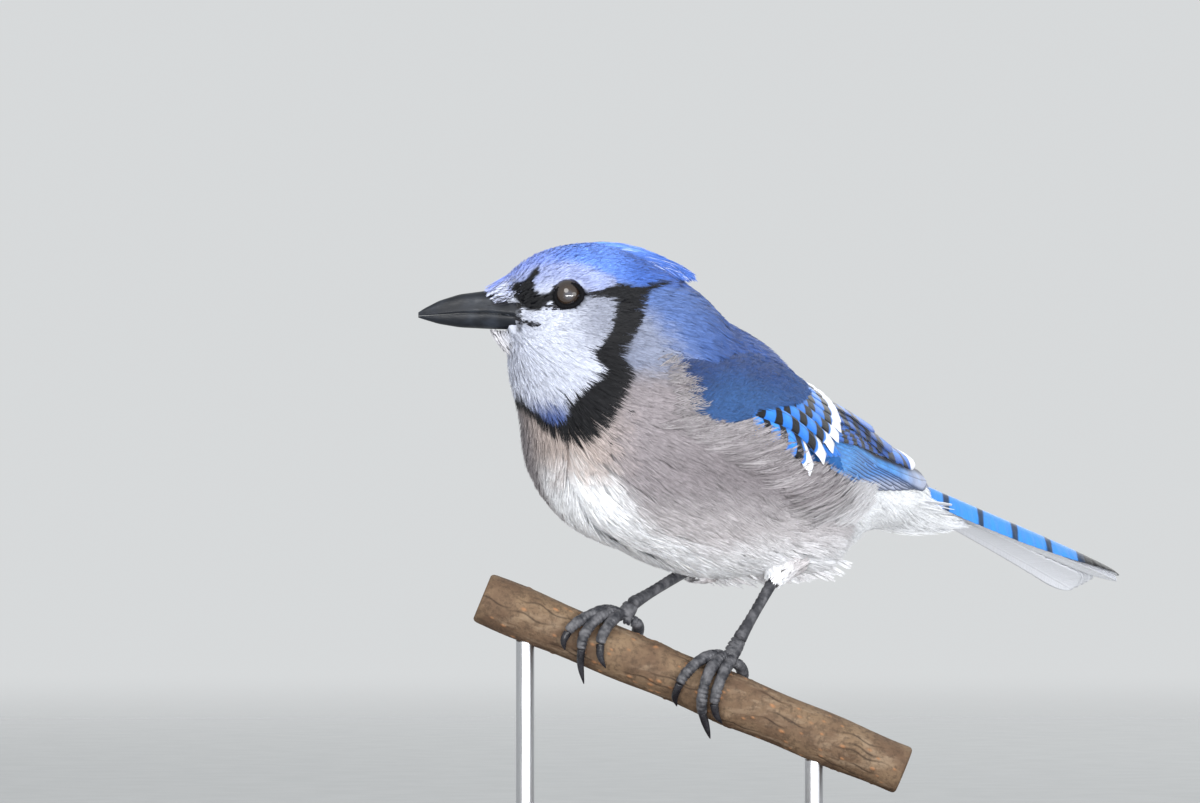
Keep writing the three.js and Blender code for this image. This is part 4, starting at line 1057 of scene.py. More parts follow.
def make_wing(side):
    guide = wing_guide(side)
    name = SIDES[side]
    flight, tiles, long_coverts = Vanes(), Vanes(), Vanes()
    for index in range(9):
        part = index / 8
        tip = 99 - 24 * part
        start, end = (44, wing_width(44) - 14 + 9 * part), (tip, wing_width(tip) * (0.97 - 0.02 * part))
        flight.add(guide, start, end, 3.2, 1.7, (-3 - 0.5 * part, -1.0 - 2.2 * part), 0.12, bow=0.3,
                   splits=1, bars=0.12)
    for index in range(6):
        part = index / 5
        tip = 90 - 9 * part
        tiles.add(guide, (40, 15 + 9 * part), (tip, wing_width(tip) * (0.36 + 0.1 * part)),
                  4.8, 2.6, (-2.0, 0.1 - 0.7 * part), 0.16, white=1.2, bars=1.0, roundness=0.88)
    for index in range(3):
        tip = 95 - 10 * index
        tiles.add(guide, (38, 13 - 4.5 * index), (tip, wing_width(tip) * 0.34 + 1.4 - 1.2 * index),
                  4.8, 4.6, (-1.4, 0.9 + 0.6 * index), 0.06, white=5.0 if index == 0 else 0.5, bars=0.95,
                  roundness=0.84)
    for index in range(10):
        share = 0.05 + 0.92 * index / 9
        tip = tip_line(share)
        root = tip - 27
        start, end = (root, (share - 0.06) * wing_width(max(root, 6))), (tip, share * wing_width(tip))
        long_coverts.add(guide, start, end, 5.2, 3.7, (-1.4, 1.5 - 0.5 * share), 0.2, white=5.4 - share,
                         bars=1.0, roundness=0.955, camber=0.5)
    for index in range(5):
        part = index / 4
        start, end = (12, wing_width(12) - 7 + 5 * part), (45 - 9 * part, wing_width(45) - 7 + 5 * part)
        long_coverts.add(guide, start, end, 2.2, 1.8, (-1.8, 0.2), 0.14, bars=0.9, splits=0)
    flight.build(f"wing_flight_{name}", "wing_feathers", FLIGHT, (f"wing_{name}",))
    tiles.build(f"wing_tiles_{name}", "wing_feathers", TILES)
    long_coverts.build(f"wing_greater_{name}", "wing_feathers", GREATER)

    # core: a smooth pad under the coverts, so that no gap shows the skin
    along = np.linspace(2, 66, 30)[:, None]
    share = np.linspace(0, 1, 17)[None, :]
    width = wing_widths(along[:, 0])[:, None] * (1 - 0.14 * smooth(20, 45, along))
    round_edge = np.sqrt(np.maximum(1 - (2 * share - 1) ** 4, 0.01))
    thick = 3.0 * round_edge * smooth(0, 12, along) * smooth(74, 50, along) + 0.05
    level = -1.2 - 2.6 * smooth(30, 60, along)
    upper = guide(along, share * width, level)
    lower = guide(along, share * width, level - 2 * thick)
    points, quads = tube(np.concatenate([upper, lower[:, ::-1]], 1))
    mesh = fill_mesh(f"wing_core_{name}", points, quads)
    add_colours(mesh, "Plumage", np.tile(PRIMARY_DEEP * 0.8, (len(points), 1)))
    new_object(f"wing_core_{name}", mesh, SKIN)


def guided(coat, name, guide, along, across, length, half, slope, heights, colour, barbs, width):
    """Small feathers laid on a guide surface, each from its (along, across) backwards."""
    count = len(along)
    lines = barb_lines(count, barbs, 1.0)
    low, high, length, half, along, across, slope = (
        value[:, None, None] for value in (*heights, length, half, along, across, slope))
    x, y = lines[..., 0] * length, lines[..., 1] * half
    level = low + (high - low) * lines[..., 0]
    level = level - 0.12 * y * y / half + RNG.normal(0, 0.05, (count, barbs, 1)) * lines[..., 0]
    back, down = along + x, across + y + slope * x
    places = guide(back, down, level)
    facing = unit(guide(back, down, level + 0.5) - places)
    width = width * RNG.uniform(0.8, 1.2, (count, barbs))
    coat.add(name, places, facing, width, np.clip(colour, 0, 1), places[:, 0, 0], lines)


def lesser_coverts(coat, side):
    """Small feathers over the wing's front part, up to the line where the barred coverts show."""
    count, barbs = 1050, 22
    share = RNG.uniform(-0.04, 1.12, count)
    limit = plain_line(share)
    length = RNG.uniform(7.0, 9.5, count)
    along = RNG.uniform(-6, limit - length)
    last = RNG.random(count) < 0.2
    along[last] = (limit - length + RNG.normal(0, 0.5, count))[last]
    order = np.argsort(along)
    share, along, length, limit = share[order], along[order], length[order], limit[order]
    width = wing_widths(along)
    tone = mixed(LESSER, LESSER_LOW, smooth(0.45, 1.0, share) * 0.9)
    tone = mixed(tone, MANTLE * 0.66, 0.85 * smooth(26, 0, along) * smooth(0.75, 0.1, share))
    tone = mixed(tone, LESSER_LOW, 0.35 * smooth(10, 0, limit - length - along))
    colour = varied(varied(tone[:, None], 0.03, count, 1), 0.07, count, barbs)
    rise = 0.35 + 1.1 * smooth(20, 40, along + length) + RNG.normal(0, 0.08, count)
    guided(coat, "wing_" + SIDES[side], wing_guide(side), along, share * width, length, np.full(count, 2.2),
           0.1 * (share - 0.35), (np.full(count, -0.9), rise), colour, barbs, 0.26)


def flank_feathers(coat, side):
    """Loose grey feathers of the flank that lie over the wing's lower edge."""
    guide = wing_guide(side)
    count, barbs = 640, 9
    along = RNG.uniform(-4, 72, count)
    width = wing_widths(along)
    bite = np.interp(along, [-4, 6, 14, 30, 44, 68], [0.05, 0.1, 0.24, 0.16, 0.17, 0.14])
    share = np.interp(along, [4, 24], [1.1, 1.04]) - bite * RNG.uniform(0, 1, count)
    tips = guide(along, share * width, RNG.uniform(0.5, 1.8, count))
    local = BODY.local(tips)
    back = RNG.uniform(11, 17, count)
    drop = np.interp(along, [-4, 30, 50, 68], [1.5, 4.5, 9.0, 7.0]) * RNG.uniform(0.7, 1.4, count)
    roots = BODY.place(np.stack([local[:, 0] + back, local[:, 1], local[:, 2] - drop], -1))
    roots, normals = FORM.settle(roots, -0.8, rounds=4)
    middles = 0.5 * (roots + tips) + normals * 2.2 - BODY.up * 1.2
    tone = mixed(BREAST, BREAST_LOW, RNG.uniform(0, 0.5, count))
    tone = mixed(tone, BELLY, 0.5 * smooth(40, 66, along)) * np.interp(along, [0, 30], [0.72, 1.0])[:, None]
    colour = varied(tone[:, None], 0.06, count, barbs)
    plume_batch(coat, "flank", roots, middles, tips, RNG.uniform(0.4, 1.1, count), colour, 0.19, normals)


def shoulder_feathers(coat, side):
    """Soft feathers of the breast and neck that lie over the wing's front edge."""
    count, barbs = 45, 9
    share = RNG.uniform(0.15, 1.1, count)
    start = RNG.uniform(-13, -7, count)
    width = np.full(count, wing_width(0))
    length = RNG.uniform(6, 10, count) * (0.6 + 0.5 * share)
    colour = mixed(BREAST, BREAST_LOW, RNG.uniform(0.1, 0.5, count))[:, None]
    colour = varied(colour, 0.05, count, barbs)
    guided(coat, "flank", wing_guide(side), start, share * width, length, RNG.uniform(0.7, 1.4, count),
           RNG.normal(0.12, 0.08, count), (np.full(count, -0.4), RNG.uniform(0.6, 1.6, count)), colour,
           barbs, 0.2)


def make_tail():
    """Twelve vanes in a folded arch, the middle pair on top, with coverts above and below."""
    middle, outer, upper, under = Vanes(), Vanes(), Vanes(), Vanes()
    for side in (1, -1):
        height = 0.65 if side == 1 else 0.65 - 0.45
        near, far, curl = (4.6, 11.8, 5.4) if side == 1 else (6.0, 4.6, 0.0)
        middle.add(tail_guide, (14, side * 0.8 * 0.1), (134, side * 0.8), near, far, (height, height),
                   bars=0.9, roundness=0.6, opens=1.2, camber=0.1, columns=25, curl=curl, hand=side,
                   ridge=0.12)
    for pair in range(1, 6):
        for side in (1, -1):
            centre = 2.5 + 0.6 * pair if side == 1 else 4.0 + 1.14 * pair
            height = 0.35 - 0.45 * (pair + 1)
            near, far = (max(centre - 0.3, 3.0), 2.8)[::side]
            start, end = (14 + 0.37 * pair, side * centre * 0.1), (130.8 - 0.08 * pair ** 2, side * centre)
            outer.add(tail_guide, start, end, near, far, (height, height), white=36.0 + 12.0 * pair,
                      bars=0.9 if pair < 4 else 0.5, roundness=0.9, opens=1.2, camber=0.1, columns=13,
                      hand=side, ridge=0.12)
    for index in range(7):
        lateral = (index - 3) * 0.8
        upper.add(tail_guide, (6, lateral * 1.6), (44 - abs(lateral) * 5, lateral * 1.9), 2.6, 2.6,
                  (2.0, 1.5 - abs(lateral) * 0.2), -0.12 if index % 2 else -0.1, bars=0.25, roundness=0.7)
    for index in range(7):
        lateral = (index - 3) * 0.8
        under.add(tail_guide, (22, lateral * 2.4), (70 - abs(lateral) * 7, lateral * 3.2), 3.2, 3.2,
                  (-9.5, -3.4 + abs(lateral) * 0.4), 0.12, roundness=0.6, camber=-0.3)
    middle.build("tail_middle", "tail_feathers", TAIL_MIDDLE, ("tail",))
    outer.build("tail_outer", "tail_feathers", TAIL_OUTER)
    upper.build("tail_coverts_upper", "tail_feathers", TAIL_COVERT)
    under.build("tail_coverts_under", "tail_feathers", UNDER_COVERT)


# Head: eyes, lids, crest, plumes and bill
def lathe(profile, axis, middle, sides):
    """A closed form turned round an axis: profile holds (distance along the axis, radius)."""
    axis = unit(axis)
    first = unit(np.cross(axis, (0.3, 0.2, 0.9)))
    second = np.cross(axis, first)
    angle = turns(sides)
    circle = np.cos(angle)[:, None] * first + np.sin(angle)[:, None] * second
    return tube(np.stack([middle + axis * along + circle * radius for along, radius in profile]))


def make_eye(side):
    name = SIDES[side]
    axis = HEAD.left * side
    centre = EYES[side] - axis * EYE_SINK
    angle = np.linspace(0.02, np.pi - 0.02, 48)
    lens = 0.35 * np.maximum(0.0, np.cos(angle)) ** 6
    along = EYE_RADIUS * np.cos(angle) + lens - 0.15
    points, quads = lathe(zip(along, EYE_RADIUS * np.sin(angle)), axis, centre, 64)
    mesh = fill_mesh(f"eye_{name}", points, quads)
    from_axis = np.linalg.norm(np.cross(points - centre, axis), axis=-1) / EYE_RADIUS
    # painted reflection: the eye's centre is grey, like a pale sky mirrored over the pupil
    tone = mixed(PUPIL_PAINTED_REFLECTION, IRIS, smooth(0.1, 0.4, from_axis))
    add_colours(mesh, "IrisAndPaintedReflection", mixed(tone, EYE_EDGE, smooth(0.4, 0.8, from_axis)))
    piece = new_object(f"eye_{name}", mesh, EYE)
    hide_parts(f"eye_{name}")

    # lid: a thin black rim of bare skin round the eye, beaded with tiny feathers
    turn = np.linspace(0, 2 * np.pi, 97)[:-1]
    head_axes = np.stack([HEAD.forward, HEAD.left, HEAD.up])
    rim = HEAD.origin + np.stack([3.6 * np.cos(turn), 0 * turn, 3.15 * np.sin(turn)], -1) @ head_axes
    rim = rim + (EYES[side] - HEAD.origin)
    rim, normals = FORM.settle(rim, 0.25)
    wide = unit(rim - EYES[side] - dot(rim - EYES[side], normals)[:, None] * normals)
    sides = 10
    angle = turns(sides)
    thick = 0.7 * (1 + 0.12 * np.sin(turn * 26))
    rings = rim[:, None] + thick[:, None, None] * (
        np.cos(angle)[None, :, None] * wide[:, None] + np.sin(angle)[None, :, None] * axis)
    points = rings.reshape(-1, 3)
    quads = grid_faces(len(rings) + 1, sides, wrap=True) % len(points)
    quads = outward(points, quads, points - np.repeat(rim, sides, 0))
    new_object(f"lid_{name}", fill_mesh(f"lid_{name}", points, quads), LID)


def plume_batch(coat, group, starts, middles, ends, half, colour, width, look):
    """Long loose feathers along three-point curves, their barbs lying to both sides of a hidden shaft.
    colour holds a colour for each barb of each feather, and look is the way the flat side faces."""
    count, barbs = colour.shape[:2]
    lines = barb_lines(count, barbs, 1.0)
    t = np.clip(lines[..., 0], 0, 1)[..., None]
    p0, p1, p2 = (p[:, None, None] for p in (starts, middles, ends))
    path = (1 - t) ** 2 * p0 + 2 * t * (1 - t) * p1 + t ** 2 * p2
    way = unit(2 * (1 - t) * (p1 - p0) + 2 * t * (p2 - p1))
    across = unit(np.cross(look[:, None, None], way))
    over = np.cross(way, across)
    y = lines[..., 1, None] * half[:, None, None, None]
    places = path + across * y - over * (0.12 * y * y)
    width = width * RNG.uniform(0.8, 1.2, (count, barbs))
    coat.add(group, places, over + 0 * places, width, np.clip(colour, 0, 1), starts, lines)


def make_crest(coat):
    """The crest: rows of slender feathers from the crown, lying back over the nape."""
    count, barbs = 260, 24
    row = RNG.uniform(0, 1, count)
    lateral = RNG.uniform(-1, 1, count)
    side = np.where(lateral > 0, 1.0, -1.0)
    low = lateral ** 2
    start = np.stack([2 - 24 * row, lateral * 6.5, np.full(count, 12.0)], -1)
    starts, _ = FORM.settle(HEAD.place(start), -0.6)
    back = -21 - 13.5 * row ** 0.8 * (1 - 0.45 * low) + RNG.normal(0, 0.8, count)
    tip_up = 10.9 - 7.6 * row - low * (4.0 - 2.6 * row) + RNG.normal(0, 0.35, count)
    tip = np.stack([back, lateral * (3.4 - row) * 0.9, tip_up], -1)
    middle_up = 15.2 - 6.2 * row - 2.6 * low
    middle = np.stack([(start[:, 0] + back) * 0.5, lateral * (6.4 - 2 * row), middle_up], -1)
    colour = varied(mixed(CROWN, CREST, smooth(0, 0.7, row))[:, None], 0.14, count, barbs)
    share = np.where(row > 0.75, 0.12, 0.07)[:, None, None]
    pale = RNG.random((count, barbs, 1)) < share
    colour = np.where(pale, colour * 0.4 + linear(0xC2CEF2) * 0.6, colour)
    look = unit(HEAD.up * 0.5 + HEAD.left * (side * (0.5 + 0.8 * np.abs(lateral)))[:, None])
    plume_batch(coat, "crest", starts, HEAD.place(middle), HEAD.place(tip), RNG.uniform(1.0, 1.7, count),
                colour, 0.26, look)


def nasal_plumes(coat):
    """Plumes that lie forward over the bill's root."""
    count, barbs = 300, 12
    side = to_sides(count)
    rank = RNG.uniform(0, 1, count)
    root = RNG.uniform(8.5, 15.0, count)
    start = np.stack([root, side * (1.0 + 4.8 * rank), 6.2 - 7.0 * rank], -1)
    starts, _ = FORM.settle(HEAD.place(start), -0.3)
    reach = 17.2 + (root - 8.5) * 0.8 + RNG.uniform(-0.6, 1.2, count) - 2.2 * rank
    tip_up = np.interp(reach, [14, 18, 22], [4.6, 3.2, 1.9]) - 4.6 * rank
    ends = HEAD.place(np.stack([reach, side * (1.6 + 4.3 * rank), tip_up], -1))
    half_way = 0.5 * (start[:, 0] + reach)
    middle_up = np.interp(half_way, [10, 14, 18], [7.4, 5.6, 3.8]) - 5.6 * rank
    middles = HEAD.place(np.stack([half_way, side * (2.2 + 5.0 * rank), middle_up], -1))
    look = unit(HEAD.up + HEAD.left * (side * (0.4 + 1.6 * rank))[:, None])
    colour = mixed(linear(0x8296E4), linear(0xD2D9F4), smooth(0.1, 0.5, rank))[:, None]
    colour = varied(colour, 0.08, count, barbs)
    dark = RNG.random((count, barbs, 1)) < 0.1 + 0.5 * smooth(0.8, 1.0, rank)[:, None, None]
    colour = np.where(dark, linear(0x22222C), colour)
    plume_batch(coat, "face", starts, middles, ends, RNG.uniform(0.35, 0.8, count), colour, 0.16, look)


def chin_feathers(coat):
    """Short feathers from the fork of the lower bill, lying down and back over the throat."""
    count, barbs = 420, 10
    part = RNG.uniform(0, 1, count)
    lateral = RNG.uniform(-1, 1, count)
    start_up = -8.2 - RNG.uniform(0, 3.5, count) * part
    start = np.stack([21 - 9.5 * part, lateral * (1.6 + 3.8 * part), start_up], -1)
    length = RNG.uniform(6, 11, count)
    tip = start + np.stack([(-0.62 + 0.2 * part) * length, 0.25 * lateral * length, -0.78 * length], -1)
    middle = 0.5 * (start + tip) + np.stack([1.0 + 0 * length, lateral * 0.8, -0.6 + 0 * length], -1)
    colour = mixed(linear(0xCDCCD2), FACE_WHITE, smooth(0.1, 0.7, part))[:, None]
    colour = varied(colour, 0.12, count, barbs)
    # painted shade: some barbs dark, as the shaded gaps between the strands
    dark = RNG.random((count, barbs, 1)) < 0.12
    colour = np.where(dark, linear(0x2A2A32), colour)
    look = unit(HEAD.forward * 0.5 - HEAD.up * 0.3 + HEAD.left * np.where(lateral > 0, 1.2, -1.2)[:, None])
    plume_batch(coat, "face", HEAD.place(start), HEAD.place(middle), HEAD.place(tip),
                RNG.uniform(0.4, 0.8, count), colour, 0.16, look)


def belly_fringe(coat):
    """Long loose feathers along the belly's lower edge."""
    count, barbs = 300, 18
    lateral = RNG.uniform(-1, 1, count)
    root = np.stack([RNG.uniform(-46, -10, count), 15 * lateral, np.full(count, -34.0)], -1)
    starts, normals = FORM.settle(BODY.place(root), -0.6, rounds=5)
    reach = RNG.uniform(5, 10, count)
    way = unit(-BODY.forward - BODY.up * RNG.uniform(0.05, 0.4, count)[:, None])
    ends = starts + way * reach[:, None] + normals * RNG.uniform(0.4, 1.6, count)[:, None]
    side = np.where(lateral > 0, 1.0, -1.0)
    look = unit(normals * 0.6 + BODY.left * side[:, None])
    colour = mixed(BREAST_LOW, BELLY, RNG.uniform(0.3, 1.0, count))[:, None]
    colour = varied(colour, 0.05, count, barbs)
    plume_batch(coat, "legs", starts, (starts + ends) / 2 + normals * 0.5, ends,
                RNG.uniform(0.25, 0.6, count), colour, 0.13, look)


def vent_feathers(coat):
    """White feathers that lie back under the tail's root."""
    count, barbs = 190, 16
    lateral = RNG.uniform(-1, 1, count)
    root = TAIL.place(np.stack([RNG.uniform(12, 36, count), lateral * 7, np.full(count, -7.0)], -1))
    starts, _ = FORM.settle(root, -0.8, rounds=5)
    back = RNG.uniform(44, 70, count)
    tip_up = np.interp(back, [44, 61, 70], [-9.4, -6.0, -4.2]) + 1.5 * np.abs(lateral) ** 3
    ends = TAIL.place(np.stack([back, lateral * np.interp(back, [44, 70], [7, 4]), tip_up], -1))
    middles = 0.5 * (starts + ends) - TAIL.up * RNG.uniform(0.6, 2.0, count)[:, None]
    middles = middles + TAIL.left * (lateral * 1.5)[:, None]
    look = unit(TAIL.left * np.sign(lateral)[:, None] - TAIL.up * 0.5)
    colour = varied(BELLY, 0.04, count, barbs)
    plume_batch(coat, "rump", starts, middles, ends, RNG.uniform(1.2, 2.2, count), colour, 0.24, look)


def bill_edge_feathers(coat):
    """Short feathers over the edges of the bill's root."""
    count, barbs = 220, 8
    side = to_sides(count)
    level = RNG.uniform(-9.4, -0.6, count)
    root = HEAD.place(np.stack([RNG.uniform(9.0, 11.5, count), side * 7, level], -1))
    starts, normals = FORM.settle(root, -0.2)
    reach = RNG.uniform(12.4, 14.0, count)
    half = np.interp(level, [-9, -5, -1], [5.4, 6.3, 5.8])
    ends = HEAD.place(np.stack([reach, side * half, level + RNG.normal(0, 0.4, count)], -1))
    dark = smooth(-5.5, -3.0, level + RNG.normal(0, 0.8, count))
    colour = varied(mixed(plumage(starts) * 0.85, BLACK, dark)[:, None], 0.1, count, barbs)
    plume_batch(coat, "face", starts, (starts + ends) / 2 + normals * 0.3, ends,
                RNG.uniform(0.35, 0.6, count), colour, 0.16, normals)


def bristles(coat):
    """Black lines from the gape under the eye, and a few fine ones over the bill's root."""
    count = 240
    side = to_sides(count)
    rank = RNG.uniform(0, 1, count)
    arc = RNG.random(count) < 0.45
    forward = np.where(arc, 5.0 - 8.5 * rank, 13.2 - 9.0 * rank) + RNG.normal(0, 0.15, count)
    up = np.where(arc, -2.6 - 1.4 * np.sin(rank * np.pi), -5.2 - 2.2 * rank) + RNG.normal(0, 0.28, count)
    starts, normals = FORM.settle(HEAD.place(np.stack([forward, side * 7, up], -1)), 0.0)
    way = lie(starts, normals)
    ends = starts + way * RNG.uniform(1.0, 2.0, count)[:, None] + normals * 0.25
    plume_batch(coat, "face", starts, (starts + ends) / 2 + normals * 0.2, ends, np.full(count, 0.22),
                np.tile(linear(0x1A1A20), (count, 4, 1)), 0.17, normals)
    count = 36
    side = to_sides(count)
    rank = RNG.uniform(0, 1, count)
    start = np.stack([RNG.uniform(10, 15, count), side * 5.5, 1.5 - 3.5 * rank], -1)
    starts, normals = FORM.settle(HEAD.place(start), -0.2)
    ends = starts + HEAD.forward * RNG.uniform(3.5, 6.5, count)[:, None] + normals * 0.5 - HEAD.up * 0.8
    plume_batch(coat, "face", starts, (starts + ends) / 2 + normals * 0.5, ends, np.full(count, 0.1),
                np.tile(linear(0x1E1E26), (count, 3, 1)), 0.12, normals)


# Bill, by distance forward from the eye: upper edge, line between its halves, lower edge and half width
BILL_STATIONS = np.array([39.4, 38, 34, 28.6, 21, 12, 6])
CULMEN = np.array([-4.4, -3.4, -1.3, 0.4, 1.4, 1.9, 1.2])
GAPE_LINE = np.array([-5.3, -5.2, -5.0, -4.6, -4.5, -5.5, -6.6])
GONYS = np.array([-5.7, -6.2, -7.4, -8.3, -8.7, -8.9, -8.6])
HALF_WIDTH = np.array([0.35, 0.9, 2.1, 3.2, 4.6, 6.2, 6.0])


def make_bill(name, edge, towards):
    """One half of the bill: half a superellipse over or under the gape line, its cutting edge turned in."""
    rows, columns, inner = 60, 24, 10
    where = BILL_STATIONS[0] + (BILL_STATIONS[-1] - BILL_STATIONS[0]) * np.linspace(0, 1, rows) ** 1.3
    kernel = np.array([1, 2, 3, 2, 1]) / 9
    lines = [np.interp(where, BILL_STATIONS[::-1], line[::-1]) for line in (GAPE_LINE, edge, HALF_WIDTH)]
    gape, crown, half = (np.convolve(np.pad(line, 2, mode="edge"), kernel, mode="valid") for line in lines)
    rim = gape + towards * 0.04
    half = half if towards > 0 else half * 0.94
    where, half, rim, crown = (line[:, None] for line in (where, half, rim, crown))
    angle = np.linspace(0, np.pi, columns)
    across = np.sign(np.cos(angle)) * np.abs(np.cos(angle)) ** 0.8
    shell = np.stack(matched(where, half * across, rim + (crown - rim) * np.sin(angle) ** 0.9), -1)
    floor = np.stack(matched(where, half * np.linspace(-1, 1, inner + 2)[1:-1] * 0.94, rim), -1)
    closed_piece(name, HEAD.place(np.concatenate([shell, floor], 1)), BILL)


# Legs: the ends of the tarsus as (x, y, height over the middle of the perch), the palm as (along, radius)
# and the points of toes and claws as (along, turn, radius) round the perch
LEGS = {
    "left": {
        "foot": (10.3, 0.5, 12.4), "belly": (19.5, 10.7, 27.9), "palm": (4.2, 9.2),
        "toes": [
            ([(7, 0, 9.3), (9.5, -40, 8.6), (10, -85, 8.5), (9.5, -118, 8.4)],
             [(8.9, -130, 8.4), (8.0, -141, 8.6)]),
            ([(2, 5, 9.8), (-2.4, 38, 8.9), (-5, 80, 8.5), (-5.4, 98, 8.3)],
             [(-5.2, 124, 8.6), (-3.8, 140, 9)]),
            ([(2.4, 12, 9.9), (0.6, 62, 8.8), (1.6, 108, 8.5), (3.2, 138, 8.3)],
             [(5.4, 152, 10), (7.6, 160, 12.2)]),
            ([(4.8, 8, 9.9), (4.2, 48, 8.8), (4.4, 86, 8.5), (5, 108, 8.3)],
             [(6.8, 126, 8.8), (9, 136, 9.2)]),
        ],
    },
    "right": {
        "foot": (-17.9, 0.5, 21.8), "belly": (-4.7, 15.2, 29.6), "palm": (-25.5, 9.2),
        "toes": [
            ([(-22, 0, 9.2), (-20.5, -40, 8.6), (-20, -85, 8.5), (-20.5, -118, 8.4)],
             [(-21.0, -130, 8.4), (-22, -141, 8.6)]),
            ([(-26.6, 6, 9.9), (-28.2, 40, 8.9), (-28.9, 70, 8.5), (-28.6, 86, 8.3)],
             [(-27.2, 108, 8.5), (-24.9, 122, 8.9)]),
            ([(-28, 8, 9.9), (-32, 46, 8.8), (-33.4, 84, 8.5), (-32.7, 108, 8.3)],
             [(-31.2, 134, 9.6), (-28.6, 152, 12.2)]),
            ([(-29, 4, 9.8), (-34, 42, 8.8), (-37, 74, 8.5), (-37.7, 88, 8.3)],
             [(-37.8, 106, 8.6), (-36.6, 120, 8.9)]),
        ],
    },
}


def on_perch(along, turn, radius):
    """A place round the perch: turn is 0 on its top and 90 degrees on the side towards the camera."""
    return round_perch(along, np.radians(turn), radius)


def round_perch(along, angle, radius):
    return PERCH.place(np.stack(matched(along, -radius * np.sin(angle), radius * np.cos(angle)), -1))


LIMB_STEP = 0.22
LIMB_END = 0.5


def scaled_limb(points, radii, scute, depth, sides, look, pad=0.0):
    """A limb with overlapping scutes across its upper half, and pads below if pad is set."""
    rough_length = np.sum(np.linalg.norm(np.diff(points, axis=0), axis=1))
    path, length = resampled(points, max(int(rough_length / LIMB_STEP), 8))
    share = np.linspace(0, 1, len(path))[:, None]
    radius = np.interp(share, np.linspace(0, 1, len(radii)), radii)
    above = np.sin(turns(sides))
    place = (share * length / scute) % 1.0
    ridge = (place - 0.5) * smooth(-0.6, 0.5, above)
    seam = np.exp(-((place - 0.02) / 0.08) ** 2) * (0.4 + 0.6 * smooth(-0.5, 0.4, above))
    lumps = np.abs(np.sin(share * length * np.pi / (2.2 * scute))) * smooth(0.0, -0.8, above)
    radius = radius + depth * (0.7 * ridge - 0.9 * seam) + pad * (lumps - 0.3)
    from_end = np.minimum(share, 1 - share) * length
    ends = np.sqrt(np.clip(1 - (1 - from_end / LIMB_END) ** 2 * (from_end < LIMB_END), 0.05, 1))
    return tube(ring_points(path, radius * ends, sides, look))


class Gather:
    """Closed pieces joined into one mesh."""

    def __init__(self):
        self.points, self.quads, self.count = [], [], 0

    def add(self, points, quads):
        self.points.append(points)
        self.quads.append(quads + self.count)
        self.count += len(points)

    def build(self, name, slot, material, replaces):
        mesh = fill_mesh(name, np.vstack(self.points), np.vstack(self.quads))
        piece = new_object(name, mesh, material)
        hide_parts(*replaces)


def make_leg(name, leg, coat):
    foot, belly = (np.array(leg[key]) + (0, 0, PERCH_HEIGHT) for key in ("foot", "belly"))
    palm = on_perch(leg["palm"][0], 0, leg["palm"][1])
    axis = unit(belly - foot)
    length = np.linalg.norm(belly - foot)
    fine = np.linspace(0, length + 8, 9)
    radii = np.interp(fine, [0, 2, 6, 11, 16, length + 8], [1.9, 1.7, 1.45, 1.4, 1.45, 1.7])
    tarsus, whole = Gather(), Gather()
    tarsus.add(*scaled_limb(foot + fine[:, None] * axis, radii, 1.9, 0.34, 28, -PERCH.forward))
    tarsus.build(f"tarsus_{name}", "leg_scales", LEG, (f"tarsus_{name}",))
    ankle = foot + (palm - foot) * np.array([[-0.05], [0.3], [0.65], [1.0]])
    whole.add(*scaled_limb(ankle, [1.85, 2.15, 2.2, 1.9], 1.4, 0.32, 24, -PERCH.forward))
    for index, (path, claw) in enumerate(leg["toes"]):
        steps = curve([palm, *(on_perch(*point) for point in path)], np.linspace(0, 1, 12))
        whole.add(*scaled_limb(steps, [1.6, 1.5, 1.62, 1.38, 1.5, 1.25], 1.1, 0.3, 20, PERCH.forward, 0.12))
        share = np.linspace(0, 1, 26)
        line = curve([on_perch(*point) for point in (path[-1], *claw)], share)
        radius = np.interp(share, [0, 0.35, 0.7, 0.93, 1], [1.12, 0.98, 0.62, 0.24, 0.1])
        squash = np.interp(share, [0, 1], [1.0, 1.15])
        rings = ring_points(line, radius, 16, PERCH.forward, squash)
        closed_piece(f"claw_{name}_{index + 1}", rings, CLAW)
    whole.build(f"foot_{name}", "leg_scales", LEG, (f"foot_{name}",))

    # thigh: a cuff of loose feathers from the belly down over the heel
    count, barbs = 200, 14
    around = RNG.uniform(0, 2 * np.pi, count)
    first = unit(np.cross(axis, UP))
    second = np.cross(axis, first)
    ring = np.cos(around)[:, None] * first + np.sin(around)[:, None] * second
    near = name == "left"
    up = RNG.uniform(2.5 if near else 5.0, 11, count)
    radius = np.interp(up, [0.5, 3, 6, 10], [3.0, 4.2, 6.0, 7.5])
    roots = belly + axis * up[:, None] + ring * (radius - 0.9)[:, None]
    reach = RNG.uniform(3.5, 5.5, count) if near else RNG.uniform(2.5, 4, count)
    end_radius = np.interp(up - reach, [-4, -1, 2, 6], [1.7, 2.0, 3.2, 5.2])
    ends = belly + axis * (up - reach)[:, None] + ring * end_radius[:, None]
    middles = (roots + ends) / 2 + ring * 0.5
    colour = mixed(BELLY, BREAST_LOW, smooth(3, 8, up))[:, None]
    colour = varied(colour, 0.1, count, barbs)
    plume_batch(coat, "legs", roots, middles, ends, RNG.uniform(0.8, 1.4, count), colour, 0.3, ring)


# Perch and stand. Scars on the bark: place along it, turn round it and height
SCARS = [(-13.2, 35, 0.9), (9, 140, 0.7), (43, 80, 1.1), (-48, 60, 0.8)]


def arc(angle, turn):
    """The way round the perch from turn to angle, in mm."""
    return np.arctan2(np.sin(angle - turn), np.cos(angle - turn)) * PERCH_RADIUS


